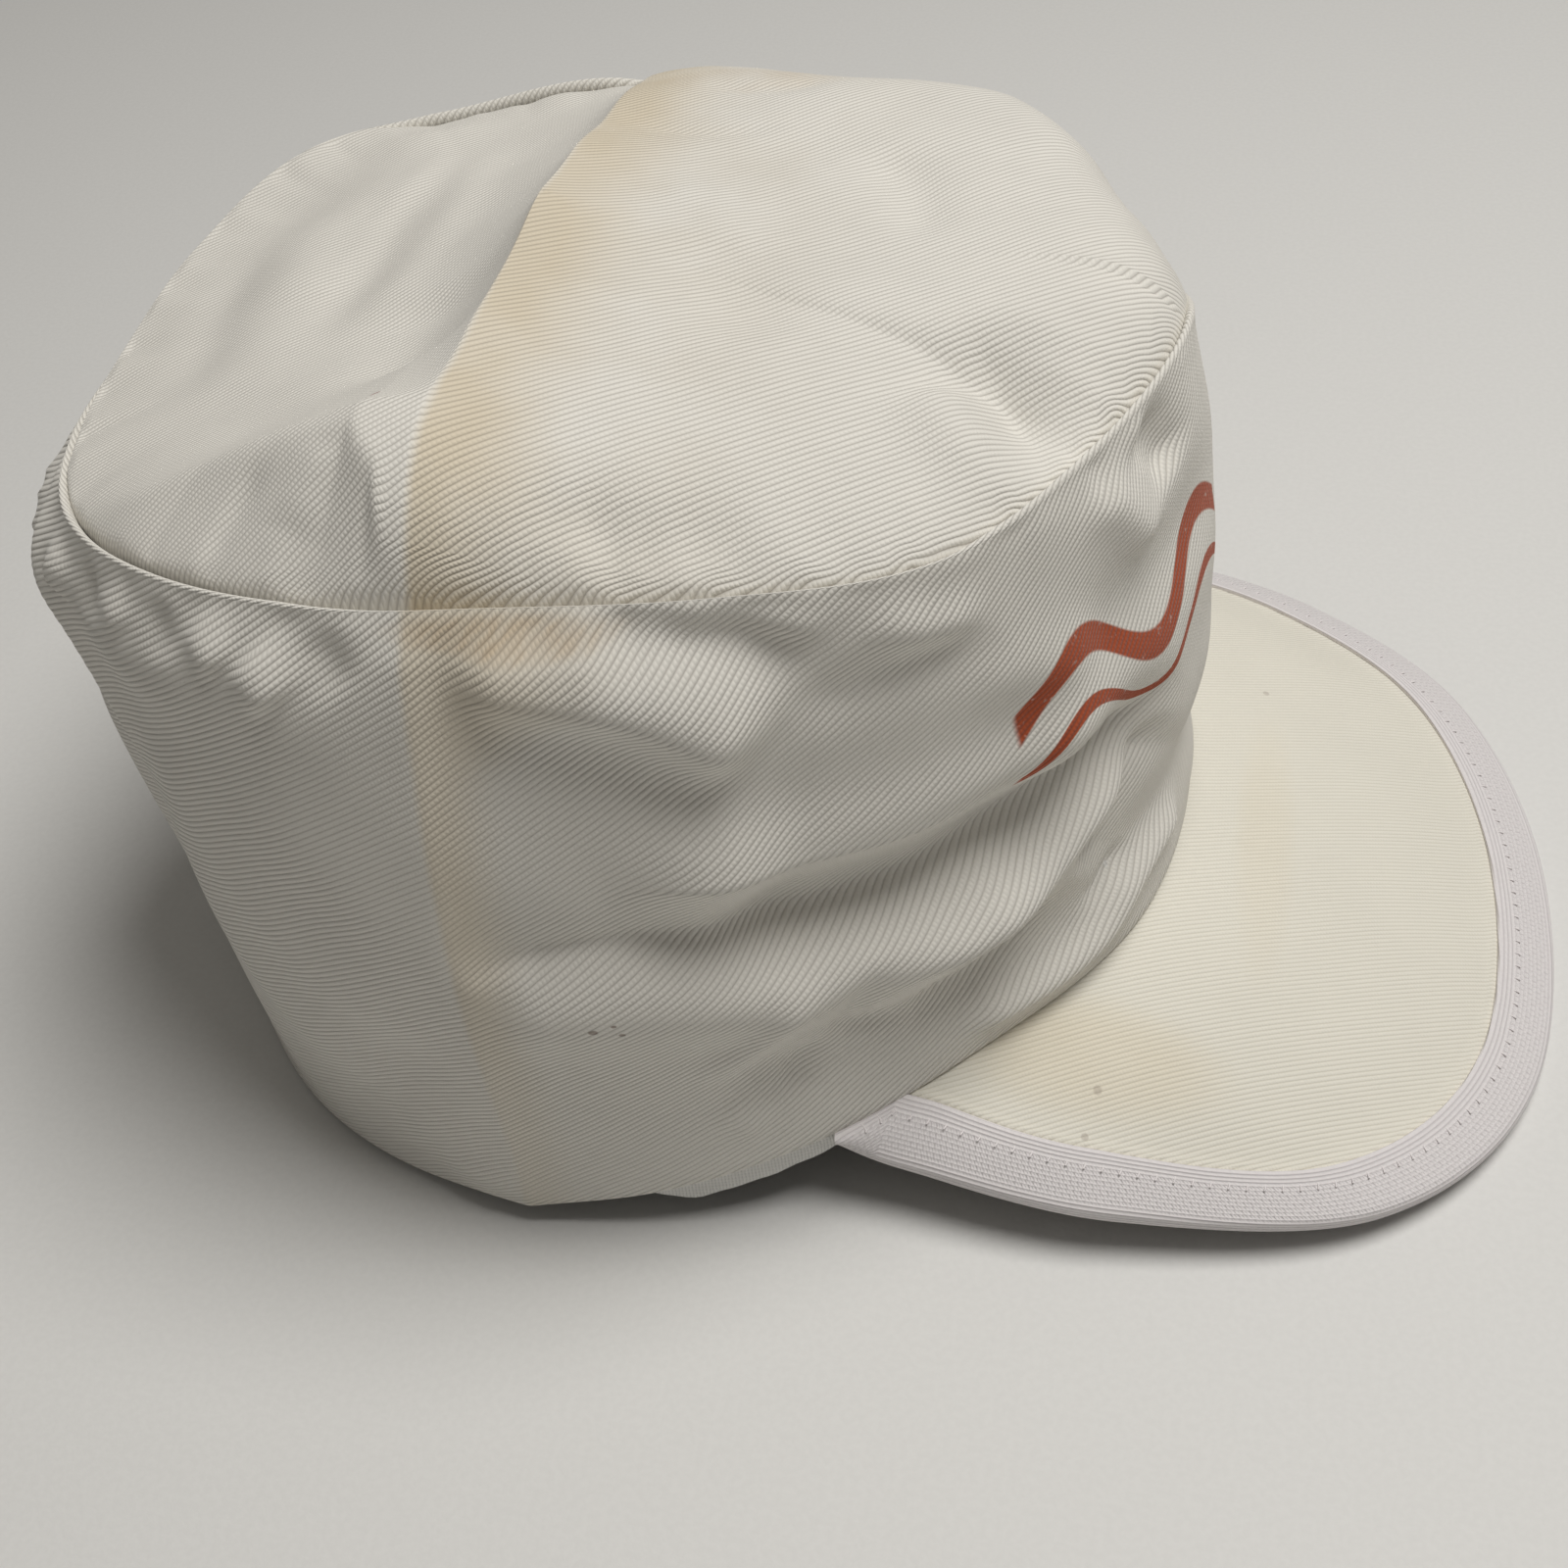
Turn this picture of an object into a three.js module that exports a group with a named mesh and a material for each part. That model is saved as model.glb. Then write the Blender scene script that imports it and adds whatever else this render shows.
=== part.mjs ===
// A soft painter's cap of white cotton twill with a bound peak, standing on a table as it was laid down.
// Millimetres and degrees. +X is the front with the peak, +Y the wearer's left and +Z up.
// Turns go round the crown from the front, through the right-hand side (-Y) at 90, to the back at 180.

import * as THREE from 'three';

// Driving sizes
const CLOTH = 1.4;            // the crown's twill
const TAPE = 0.8;             // the binding and the sweatband
const GAP = 0.3;              // clearance between sewn neighbours
const FOLD_X = -39.8;         // where the two side folds stand, with the origin under the cap's middle

// The crown's sections. A belly is how far the band swells at mid-height, a shoulder how far just under the
// seam, and a waist how far it is drawn in above the hem. Round is how flat the top stays before it falls
// to the seam.
const SECTIONS = [
  { turn: 0, hemR: 101, hemZ: 29, seamR: 95.6, seamZ: 120.5, belly: 3.5, shoulder: 0, waist: 2, round: 18 },
  { turn: 20, hemR: 100.6, hemZ: 27.4, seamR: 90.6, seamZ: 119.5, belly: 3.5, shoulder: 0, waist: 3, round: 4 },
  { turn: 40, hemR: 94, hemZ: 23, seamR: 87.3, seamZ: 119, belly: 2.5, shoulder: 0, waist: 3, round: 4.5 },
  { turn: 60, hemR: 91, hemZ: 16, seamR: 78.2, seamZ: 120.3, belly: 3.8, shoulder: 0.5, waist: 2, round: 6 },
  { turn: 80, hemR: 88.4, hemZ: 7.6, seamR: 73.9, seamZ: 121, belly: 6.5, shoulder: 1.5, waist: 0.5, round: 9 },
  { turn: 100, hemR: 86.3, hemZ: 2.8, seamR: 75.1, seamZ: 119.6, belly: 8, shoulder: 1.5, waist: 0, round: 14 },
  { turn: 120, hemR: 84.5, hemZ: 1, seamR: 77.3, seamZ: 117.5, belly: 6.1, shoulder: 4.2, waist: 0, round: 28 },
  { turn: 140, hemR: 81.8, hemZ: 0, seamR: 79.5, seamZ: 113.5, belly: 3.1, shoulder: 3, waist: 0, round: 26 },
  { turn: 160, hemR: 82, hemZ: 0, seamR: 77.3, seamZ: 110, belly: 10, shoulder: 5.5, waist: 0, round: 9 },
  { turn: 180, hemR: 83, hemZ: 0, seamR: 76.5, seamZ: 109.5, belly: 5, shoulder: 0, waist: 0, round: 9 },
  { turn: 200, hemR: 82, hemZ: 0, seamR: 80, seamZ: 111.5, belly: 6, shoulder: 1, waist: 0, round: 8.5 },
  { turn: 220, hemR: 81.8, hemZ: 0, seamR: 83, seamZ: 116, belly: 5, shoulder: 2, waist: 0, round: 5.2 },
  { turn: 240, hemR: 84.5, hemZ: 1, seamR: 78, seamZ: 117, belly: 6.5, shoulder: 1.5, waist: 0, round: 4.9 },
  { turn: 260, hemR: 86.5, hemZ: 2.8, seamR: 75.1, seamZ: 120, belly: 8.5, shoulder: 1, waist: 0, round: 4 },
  { turn: 280, hemR: 88.4, hemZ: 7.6, seamR: 77.5, seamZ: 115.5, belly: 8, shoulder: 0, waist: 0.5, round: 7.5 },
  { turn: 300, hemR: 91, hemZ: 16, seamR: 80.5, seamZ: 112, belly: 6, shoulder: 0, waist: 2, round: 10 },
  { turn: 320, hemR: 94, hemZ: 23, seamR: 92, seamZ: 114, belly: 4, shoulder: 0, waist: 3, round: 14 },
  { turn: 340, hemR: 100.3, hemZ: 27.4, seamR: 94, seamZ: 110, belly: 1.5, shoulder: 0, waist: 3, round: 22 },
];
const SECTION_STEP = 20;
const SHOULDER_UP = 0.9;      // a share of the band's height, as are the next three
const SHOULDER_REACH = 0.09;
const WAIST_UP = 0.17;
const WAIST_REACH = 0.1;
const BELLY_LEAN = 1.25;      // above 1, the belly sits higher than mid-height

// Folds and dents of the band, each along a line from one turn and height share to another. Push is outward.
const BAND_FOLDS = [
  { from: [90, 1], to: [90, 0], reach: 7, push: 1.8, sharp: true },
  { from: [270, 1], to: [270, 0], reach: 7, push: 1.8, sharp: true },
  { from: [24, 0.48], to: [53, 0.565], reach: 10, push: -4.4, sharp: false },
  { from: [53, 0.565], to: [92, 0.54], reach: 9, push: -3, sharp: false },
  { from: [42, 0.42], to: [91, 0.47], reach: 13, push: 2.6, sharp: false },
  { from: [60, 0.79], to: [87, 0.945], reach: 8, push: 3.4, sharp: false },
  { from: [14, 0.44], to: [34, 0.2], reach: 6, push: -3, sharp: false },
  { from: [34, 0.22], to: [56, 0.15], reach: 7, push: -1.6, sharp: false },
  { from: [152, 0.985], to: [143, 0.74], reach: 7, push: 3, sharp: true },
  { from: [10, 0.71], to: [22, 0.72], reach: 10, push: -2, sharp: false },
  { from: [196, 0.6], to: [232, 0.5], reach: 10, push: -2.8, sharp: false },
  { from: [286, 0.55], to: [330, 0.5], reach: 10, push: -3, sharp: false },
];

// The top is creased from side to side. In front of the crease it is a low dome. Behind it a hollow slopes to
// the back, and the corner towards the right-hand side is a flat facet that rises from the seam to a ridge.
const TOP_HEIGHT = 129.5;
const CREASE_HEIGHT = 138;
const CREASE = [[-80, 137.7], [-49, 137.7], [0, 138.8], [19, 136.2], [32, 133.8], [54, 130.3], [75, 129]];  // y, z
const CREASE_FRONT_REACH = 26;
const CREASE_BACK_REACH = 14;
const BACK_HEIGHT = 125.5;
const BACK_SLOPE = 0.185;
const BACK_FALL_REACH = 16;
const FACET_RIDGE = [[-80, 104], [-62, 114], [-50, 119.5], [-36, 125.2], [-22, 132], [-10, 137], [0, 138.5]];  // x, z
const RIDGE_Y = -51.5;
const RIDGE_REACH = 14;
const FACET_SLOPE = [[60, 5], [90, 3], [95, 1.4], [101, 0.98], [113, 0.79], [125, 0.66], [134, 0.86],
  [142, 1.3], [150, 3], [160, 6]];      // turn, rise
const FACET_TURNS = [60, 162];
const FACET_EDGE = 0.8;       // how softly the facet meets the hollow
const STEEPEST = 2;           // the slope up to which the top's lower face keeps the cloth's thickness
const STEP_OUT = 0.01;        // how far off the slopes are measured, as a share of the radius and in degrees
const STEP_ROUND = 1;

// Folds of the top panel, each along a line in plan, measured from the point between the side folds.
const TOP_FOLDS = [
  { from: [-13, -36], to: [-15, -4], reach: 10, lift: -2.4, sharp: false },
  { from: [63, -13], to: [81, -39], reach: 9, lift: -5.5, sharp: true },
  { from: [58, -24], to: [75, -44], reach: 6, lift: 2.2, sharp: false },
  { from: [-46, 10], to: [-40, 60], reach: 10, lift: 1.2, sharp: false },
  { from: [24, 52], to: [66, 42], reach: 20, lift: 3.6, sharp: false },
];

// The peak's outer edge, from its end at the hem on the right-hand side, round its tip, to the other end, and
// how wide the binding lies on it. It has been bent a little, so its halves differ.
const PEAK_EDGE = [
  { x: 49.2, y: -76.7, z: 15.6, binding: 11.5 },
  { x: 62, y: -78, z: 12.2, binding: 11.5 },
  { x: 94.4, y: -80.6, z: 9.4, binding: 11.5 },
  { x: 135.8, y: -71.6, z: 6, binding: 10 },
  { x: 160.8, y: -41.7, z: 3.4, binding: 10.6 },
  { x: 165, y: 7.2, z: 3.4, binding: 11.5 },
  { x: 151.4, y: 47.2, z: 6.3, binding: 11.5 },
  { x: 123.6, y: 69.3, z: 9.5, binding: 11.5 },
  { x: 92.6, y: 79.3, z: 11.9, binding: 11.5 },
  { x: 66.9, y: 82.3, z: 13.8, binding: 11.5 },
  { x: 49.2, y: 76.7, z: 15.6, binding: 11.5 },
];
const PEAK_END_TURN = 57.5;
const PEAK_BOARD = 2.4;       // card between two layers of twill
const PEAK_CAMBER = 1.2;
const PEAK_TUCK = 0.8;        // how far its upper face runs in under the band's hem
const PEAK_TRIM = 1.6;        // how much shorter its lower face is there
const BINDING_CLEAR = 1.6;    // how near the binding comes to the hem at the peak's ends

// How far the sweatband shows under the hem in front, and how far it stays up inside at the back, as shares
// of the band's height
const SWEATBAND_SHOWS = 0.026;
const SWEATBAND_BACK = 0.012;

// How finely each piece is divided
const CROWN_SIDES = 72;
const BAND_ROWS = [0, 0.07, 0.15, 0.22, 0.33, 0.45, 0.57, 0.68, 0.79, 0.87, 0.93, 0.97, 1];
const SWEATBAND_ROWS = [0.07, 0.15, 0.22];
const TOP_RINGS = [0.14, 0.3, 0.45, 0.6, 0.73, 0.84, 0.93, 1];
const PEAK_STATIONS = 42;
const PEAK_REACH = 0.955;
const BINDING_SHORT = 3;
const PEAK_ROWS = [0, 0.16, 0.34, 0.52, 0.7, 0.86, 1];

const radians = THREE.MathUtils.degToRad;
const mix = THREE.MathUtils.lerp;
const ARC_PER_DEGREE = 1.5;   // mm round the band
const BAND_HEIGHT = 116;      // mm, for the folds' reach

// A section value at any turn, on a smooth closed curve through the rows.
function section(turn, column) {
  const place = (((turn % 360) + 360) % 360) / SECTION_STEP;
  const i = Math.floor(place);
  const s = place - i;
  const at = (k) => SECTIONS[(k + SECTIONS.length) % SECTIONS.length][column];
  const [a, b, c, d] = [at(i - 1), at(i), at(i + 1), at(i + 2)];
  return b + 0.5 * s * (c - a + s * (2 * a - 5 * b + 4 * c - d + s * (3 * (b - c) + d - a)));
}

function distanceToLine(x, y, from, to) {
  const dx = to[0] - from[0];
  const dy = to[1] - from[1];
  const along = THREE.MathUtils.clamp(((x - from[0]) * dx + (y - from[1]) * dy) / (dx * dx + dy * dy), 0, 1);
  return Math.hypot(x - from[0] - along * dx, y - from[1] - along * dy);
}

function foldShare(distance, fold) {
  const d = distance / fold.reach;
  return fold.sharp ? Math.exp(-d) : Math.exp(-d * d);
}

function bandFoldPush(turn, up) {
  const towards = THREE.MathUtils.clamp((1 - up) / 0.05, 0, 1);
  let push = 0;
  for (const fold of BAND_FOLDS) {
    const middle = (fold.from[0] + fold.to[0]) / 2;
    const near = middle + ((((turn - middle + 180) % 360) + 360) % 360) - 180;
    const line = [fold.from, fold.to].map(([t, u]) => [t * ARC_PER_DEGREE, u * BAND_HEIGHT]);
    const distance = distanceToLine(near * ARC_PER_DEGREE, up * BAND_HEIGHT, line[0], line[1]);
    push += fold.push * foldShare(distance, fold);
  }
  return push * towards;
}

// A point of the band, some way in from its outer face. Up runs from 0 at the hem to 1 at the seam.
function bandPoint(turn, up, inward) {
  const hemR = section(turn, 'hemR');
  const hemZ = Math.max(0, section(turn, 'hemZ'));
  const swell = section(turn, 'belly') * Math.sin(Math.PI * Math.max(0, up) ** BELLY_LEAN);
  const shoulder = section(turn, 'shoulder') * Math.exp(-(((up - SHOULDER_UP) / SHOULDER_REACH) ** 2));
  const waist = section(turn, 'waist') * Math.exp(-(((up - WAIST_UP) / WAIST_REACH) ** 2));
  const base = mix(hemR, section(turn, 'seamR'), up);
  const r = base + swell + shoulder - waist + bandFoldPush(turn, up) - inward;
  const z = mix(hemZ, section(turn, 'seamZ'), up);
  return new THREE.Vector3(r * Math.cos(radians(turn)), -r * Math.sin(radians(turn)), z);
}

// A value between the rows of a table.
function alongTable(table, value) {
  const next = table.findIndex(([place]) => place > value);
  if (next === 0) return table[0][1];
  if (next < 0) return table[table.length - 1][1];
  const [[a, low], [b, high]] = [table[next - 1], table[next]];
  return mix(low, high, (value - a) / (b - a));
}

// The top's height inside its rim.
function topHeight(x, y) {
  const crease = alongTable(CREASE, y);
  if (x > 0) return TOP_HEIGHT + (crease - TOP_HEIGHT) * Math.exp(-x / CREASE_FRONT_REACH);
  const hollow = BACK_HEIGHT + BACK_SLOPE * x + (CREASE_HEIGHT - BACK_HEIGHT) * Math.exp(x / BACK_FALL_REACH);
  const raised = Math.max(0, alongTable(FACET_RIDGE, x) - hollow);
  return hollow + (crease - CREASE_HEIGHT) * Math.exp(x / CREASE_BACK_REACH)
    + raised * Math.exp(-Math.max(0, y - RIDGE_Y) / RIDGE_REACH);
}

// A point of the top panel's upper face. Out runs from 0 at the middle to 1 at the rim.
function topPoint(turn, out) {
  const rim = section(turn, 'seamR') - CLOTH - GAP;
  const x = out * rim * Math.cos(radians(turn));
  const y = -out * rim * Math.sin(radians(turn));
  const rimZ = section(turn, 'seamZ') - 0.5;
  let z = mix(topHeight(x, y), rimZ, out ** section(turn, 'round'));
  if (turn > FACET_TURNS[0] && turn < FACET_TURNS[1]) {
    const facet = rimZ + FACET_EDGE / 2 + alongTable(FACET_SLOPE, turn) * (1 - out) * rim;
    z = (z + facet - Math.hypot(z - facet, FACET_EDGE)) / 2;
  }
  const towardsRim = THREE.MathUtils.clamp((1 - out) / 0.12, 0, 1);
  for (const fold of TOP_FOLDS) {
    z += towardsRim * fold.lift * foldShare(distanceToLine(x, y, fold.from, fold.to), fold);
  }
  return new THREE.Vector3(x, y, z);
}

// The same point of the lower face: further down where the cloth is steep, so that the wall keeps its thickness.
function topUnderside(turn, out) {
  const point = topPoint(turn, out);
  const rise = (other) => Math.abs(other.z - point.z) / Math.hypot(other.x - point.x, other.y - point.y);
  const outward = out > 0 ? rise(topPoint(turn, out - STEP_OUT)) : 0;
  const around = out > 0 ? rise(topPoint(turn + STEP_ROUND, out)) : 0;
  point.z -= CLOTH * Math.hypot(1, Math.min(STEEPEST, outward), Math.min(STEEPEST, around));
  return point;
}

// Points and triangles of one closed body. Quads are given anticlockwise from outside, and split along their
// shorter diagonal, so that two faces a gap apart bend alike.
class Body {
  constructor() {
    this.points = [];
    this.faces = [];
  }
  row(vectors) {
    return vectors.map((v) => this.points.push(v.x, v.y, v.z) / 3 - 1);
  }
  quad(a, b, c, d) {
    const at = (k) => new THREE.Vector3().fromArray(this.points, 3 * k);
    const shortAC = at(a).distanceTo(at(c)) <= at(b).distanceTo(at(d));
    this.faces.push(...(shortAC ? [a, b, c, a, c, d] : [b, c, d, b, d, a]));
  }
  strip(one, two, closed) {
    const last = closed ? one.length : one.length - 1;
    for (let i = 0; i < last; i += 1) {
      const next = (i + 1) % one.length;
      this.quad(one[i], one[next], two[next], two[i]);
    }
  }
  fan(centre, ring) {
    ring.forEach((point, i) => this.faces.push(centre, point, ring[(i + 1) % ring.length]));
  }
  geometry() {
    const geometry = new THREE.BufferGeometry();
    geometry.setAttribute('position', new THREE.Float32BufferAttribute(this.points, 3));
    geometry.setIndex(this.faces);
    geometry.computeVertexNormals();
    return geometry;
  }
}

// Turns run the other way round from the anticlockwise sense seen from above, so they are counted down here.
const TURNS = Array.from({ length: CROWN_SIDES }, (_, i) => 360 - (i * 360) / CROWN_SIDES);

// A closed ring of cloth between heights: its outer face, top edge, inner face and bottom edge in one loop.
function ringBody(loop) {
  const body = new Body();
  const rows = loop.map((place) => body.row(TURNS.map(place)));
  rows.forEach((row, i) => body.strip(row, rows[(i + 1) % rows.length], true));
  return body.geometry();
}

function sideBand() {
  const outer = BAND_ROWS.map((up) => (turn) => bandPoint(turn, up, 0));
  const inner = BAND_ROWS.map((up) => (turn) => bandPoint(turn, up, CLOTH)).reverse();
  return ringBody([...outer, ...inner]);
}

function sweatband() {
  const drop = (turn) => {
    const towardsBack = THREE.MathUtils.smoothstep(Math.abs(((turn + 180) % 360) - 180), 66, 82);
    return mix(-SWEATBAND_SHOWS, SWEATBAND_BACK, towardsBack);
  };
  const heights = [drop, ...SWEATBAND_ROWS.map((up) => () => up)];
  const outer = heights.map((up) => (turn) => bandPoint(turn, up(turn), CLOTH + GAP));
  const inner = heights.map((up) => (turn) => bandPoint(turn, up(turn), CLOTH + GAP + TAPE)).reverse();
  return ringBody([...outer, ...inner]);
}

function topPanel() {
  const body = new Body();
  const ring = (out, face) => body.row(TURNS.map((turn) => face(turn, out)));
  const [upperCentre] = body.row([topPoint(0, 0)]);
  const upper = TOP_RINGS.map((out) => ring(out, topPoint));
  const lower = TOP_RINGS.map((out) => ring(out, topUnderside));
  const [lowerCentre] = body.row([topUnderside(0, 0)]);
  body.fan(upperCentre, upper[0]);
  for (let i = 1; i < upper.length; i += 1) {
    body.strip(upper[i], upper[i - 1], true);
    body.strip(lower[i - 1], lower[i], true);
  }
  body.strip(lower[lower.length - 1], upper[upper.length - 1], true);
  body.fan(lowerCentre, [...lower[0]].reverse());
  return body.geometry();
}

// A value of the peak's edge at a station from -1 to 1, or how fast it changes there.
function edgeValue(station, column, slope = false) {
  const last = PEAK_EDGE.length - 1;
  const place = ((station + 1) / 2) * last;
  const i = THREE.MathUtils.clamp(Math.floor(place), 0, last - 1);
  const s = place - i;
  const row = (k) => PEAK_EDGE[k][column];
  const at = (k) => {
    if (k < 0) return 2 * row(0) - row(1);
    return k > last ? 2 * row(last) - row(last - 1) : row(k);
  };
  const [a, b, c, d] = [at(i - 1), at(i), at(i + 1), at(i + 2)];
  if (slope) return 0.5 * (c - a + 2 * s * (2 * a - 5 * b + 4 * c - d) + 3 * s * s * (3 * (b - c) + d - a));
  return b + 0.5 * s * (c - a + s * (2 * a - 5 * b + 4 * c - d + s * (3 * (b - c) + d - a)));
}

// The peak's frame at a station across it, from -1 at the near end through the tip to 1 at the far end:
// the outer edge, the way along the edge, the way in to the hem, the way up, and how far the hem is.
function peakFrame(station) {
  const edge = (slope) => new THREE.Vector3(...['x', 'y', 'z'].map((axis) => edgeValue(station, axis, slope)));
  const outer = edge(false);
  const hem = bandPoint(-station * PEAK_END_TURN, 0, PEAK_TUCK);
  hem.z -= GAP + 0.1;
  const inward = hem.clone().sub(outer);
  const depth = inward.length();
  inward.normalize();
  const up = edge(true).cross(inward).normalize();
  return { outer, inward, up, depth, binding: edgeValue(station, 'binding') };
}

function peakPlace(frame, from, height) {
  const camber = PEAK_CAMBER * Math.sin(Math.PI * THREE.MathUtils.clamp(from / frame.depth, 0, 1));
  return frame.outer.clone().addScaledVector(frame.inward, from).addScaledVector(frame.up, height + camber);
}

// Stations close up towards the ends, where the peak narrows into the hem. The binding stops a few short.
const STATIONS = Array.from({ length: PEAK_STATIONS + 1 }, (_, i) =>
  PEAK_REACH * Math.sin(Math.PI * (i / PEAK_STATIONS - 0.5)));

function peak() {
  const body = new Body();
  const frames = STATIONS.map(peakFrame);
  const start = TAPE + GAP;
  const face = (height, trim) => PEAK_ROWS.map((share) =>
    body.row(frames.map((frame) => peakPlace(frame, mix(start, frame.depth - trim, share), height))));
  const upper = face(0, 0);
  const lower = face(-PEAK_BOARD, PEAK_TRIM).reverse();
  const loop = [...upper, ...lower];
  loop.forEach((row, i) => body.strip(row, loop[(i + 1) % loop.length], false));
  for (const [end, flip] of [[0, true], [frames.length - 1, false]]) {
    for (let i = 0; i < PEAK_ROWS.length - 1; i += 1) {
      const corners = [upper[i][end], lower[lower.length - 1 - i][end],
        lower[lower.length - 2 - i][end], upper[i + 1][end]];
      body.quad(...(flip ? corners.reverse() : corners));
    }
  }
  return body.geometry();
}

// The binding's section, from its edge on the upper face round the peak's edge to that on the lower face.
function bindingSection(frame) {
  const width = Math.min(frame.binding, frame.depth - BINDING_CLEAR);
  const top = TAPE + GAP;
  const bottom = -PEAK_BOARD - TAPE - GAP;
  const middle = -PEAK_BOARD / 2;
  return [
    [width, top], [width / 2, top], [TAPE * 1.6, top], [0, top - TAPE * 1.4], [-0.25, middle],
    [0, bottom + TAPE * 1.4], [TAPE * 1.6, bottom], [width / 2, bottom], [width, bottom],
    [width, bottom + TAPE], [width / 2, bottom + TAPE], [TAPE, bottom + TAPE],
    [TAPE, top - TAPE], [width / 2, top - TAPE], [width, top - TAPE],
  ].map(([from, height]) => peakPlace(frame, from, height));
}

function peakBinding() {
  const body = new Body();
  const sections = STATIONS.slice(BINDING_SHORT, -BINDING_SHORT).map(peakFrame).map(bindingSection);
  const rows = sections.map((points) => body.row(points));
  for (let i = 1; i < rows.length; i += 1) {
    body.strip(rows[i - 1], rows[i], true);
  }
  capSection(body, rows[0]);
  capSection(body, [...rows[rows.length - 1]], true);
  return body.geometry();
}

// Closes a binding's end: the outer corners of its section face the inner ones in pairs.
function capSection(body, row, flip = false) {
  const pairs = [[0, 14], [1, 13], [2, 12], [3, 12], [4, 12], [4, 11], [5, 11], [6, 11], [7, 10], [8, 9]];
  for (let i = 1; i < pairs.length; i += 1) {
    const [a, b] = pairs[i - 1];
    const [c, d] = pairs[i];
    const triangles = [[a, c, b], [c, d, b]].filter((t) => new Set(t).size === 3);
    triangles.forEach((t) => body.faces.push(...(flip ? t : [...t].reverse()).map((k) => row[k])));
  }
}

const twill = new THREE.MeshStandardMaterial({ color: 0xe4e1d9, roughness: 0.92, metalness: 0 });
const topTwill = twill.clone();
const peakTwill = new THREE.MeshStandardMaterial({ color: 0xe8e3d3, roughness: 0.9, metalness: 0 });
const wovenTape = new THREE.MeshStandardMaterial({ color: 0xe3dfe2, roughness: 0.8, metalness: 0 });
const innerTape = new THREE.MeshStandardMaterial({ color: 0xe6e4dd, roughness: 0.85, metalness: 0 });

const PIECES = [
  ['side_band', sideBand(), twill],
  ['top_panel', topPanel(), topTwill],
  ['peak', peak(), peakTwill],
  ['peak_binding', peakBinding(), wovenTape],
  ['sweatband', sweatband(), innerTape],
];

const cap = new THREE.Group();
for (const [name, geometry, material] of PIECES) {
  const mesh = new THREE.Mesh(geometry, material);
  mesh.name = name;
  cap.add(mesh);
}
cap.position.x = FOLD_X;

export default cap;
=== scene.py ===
import math
from collections import namedtuple

import bpy
import numpy as np
from mathutils import Matrix, Vector


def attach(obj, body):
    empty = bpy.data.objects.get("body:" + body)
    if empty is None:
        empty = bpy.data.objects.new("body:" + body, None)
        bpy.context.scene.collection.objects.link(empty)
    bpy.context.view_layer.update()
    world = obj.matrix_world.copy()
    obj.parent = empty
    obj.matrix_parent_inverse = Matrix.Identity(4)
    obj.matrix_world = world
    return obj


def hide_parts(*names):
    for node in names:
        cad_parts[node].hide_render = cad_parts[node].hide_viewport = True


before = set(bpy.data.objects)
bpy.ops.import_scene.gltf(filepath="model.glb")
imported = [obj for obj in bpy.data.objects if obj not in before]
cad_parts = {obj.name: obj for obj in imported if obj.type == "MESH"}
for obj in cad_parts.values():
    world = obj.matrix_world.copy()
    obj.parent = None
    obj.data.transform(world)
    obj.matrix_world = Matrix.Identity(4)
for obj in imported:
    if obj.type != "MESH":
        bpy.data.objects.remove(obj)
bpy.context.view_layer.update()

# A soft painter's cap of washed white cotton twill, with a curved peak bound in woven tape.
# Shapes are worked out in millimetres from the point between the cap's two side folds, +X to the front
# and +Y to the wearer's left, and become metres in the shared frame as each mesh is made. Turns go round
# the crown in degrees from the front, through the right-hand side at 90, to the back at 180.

MM = 0.001
FOLDS_AT = -39.8         # where the side folds stand in the shared frame

# Cloth and tape
CLOTH = 1.4
TAPE = 0.8
GAP = 0.3
WALL_RIB = 0.92          # from one twill rib to the next
TOP_RIB = 0.9
PEAK_RIB = 0.78
RIB_DEPTH = 0.23
WALL_RIB_ANGLE = 180 - 32
TOP_RIB_ANGLE = 39
PEAK_RIB_ANGLE = 25
TAPE_RIB = 0.78
TAPE_DEPTH = 0.13

# The crown's sections, one each 20 degrees
SECTION_STEP = 20
SECTION_COLUMNS = ("hem_r", "hem_z", "seam_r", "seam_z", "belly", "shoulder", "waist", "round")
SECTIONS = (
    (101, 29, 95.6, 120.5, 3.5, 0, 2, 18),
    (100.6, 27.4, 90.6, 119.5, 3.5, 0, 3, 4),
    (94, 23, 87.3, 119, 2.5, 0, 3, 4.5),
    (91, 16, 78.2, 120.3, 3.8, 0.5, 2, 6),
    (88.4, 7.6, 73.9, 121, 6.5, 1.5, 0.5, 9),
    (86.3, 2.8, 75.1, 119.6, 8, 1.5, 0, 14),
    (84.5, 1, 77.3, 117.5, 6.1, 4.2, 0, 28),
    (81.8, 0, 79.5, 113.5, 3.1, 3, 0, 26),
    (82, 0, 77.3, 110, 10, 5.5, 0, 9),
    (83, 0, 76.5, 109.5, 5, 0, 0, 9),
    (82, 0, 80, 111.5, 6, 1, 0, 8.5),
    (81.8, 0, 83, 116, 5, 2, 0, 5.2),
    (84.5, 1, 78, 117, 6.5, 1.5, 0, 4.9),
    (86.5, 2.8, 75.1, 120, 8.5, 1, 0, 4),
    (88.4, 7.6, 77.5, 115.5, 8, 0, 0.5, 7.5),
    (91, 16, 80.5, 112, 6, 0, 2, 10),
    (94, 23, 92, 114, 4, 0, 3, 14),
    (100.3, 27.4, 94, 110, 1.5, 0, 3, 14),
)
SHOULDER_UP = 0.9
SHOULDER_REACH = 0.09
WAIST_UP = 0.17
WAIST_REACH = 0.1
BELLY_LEAN = 1.25
ARC_PER_DEGREE = 1.5     # mm round the band, and mm up it, for the folds' reach
BAND_HEIGHT = 116

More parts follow.
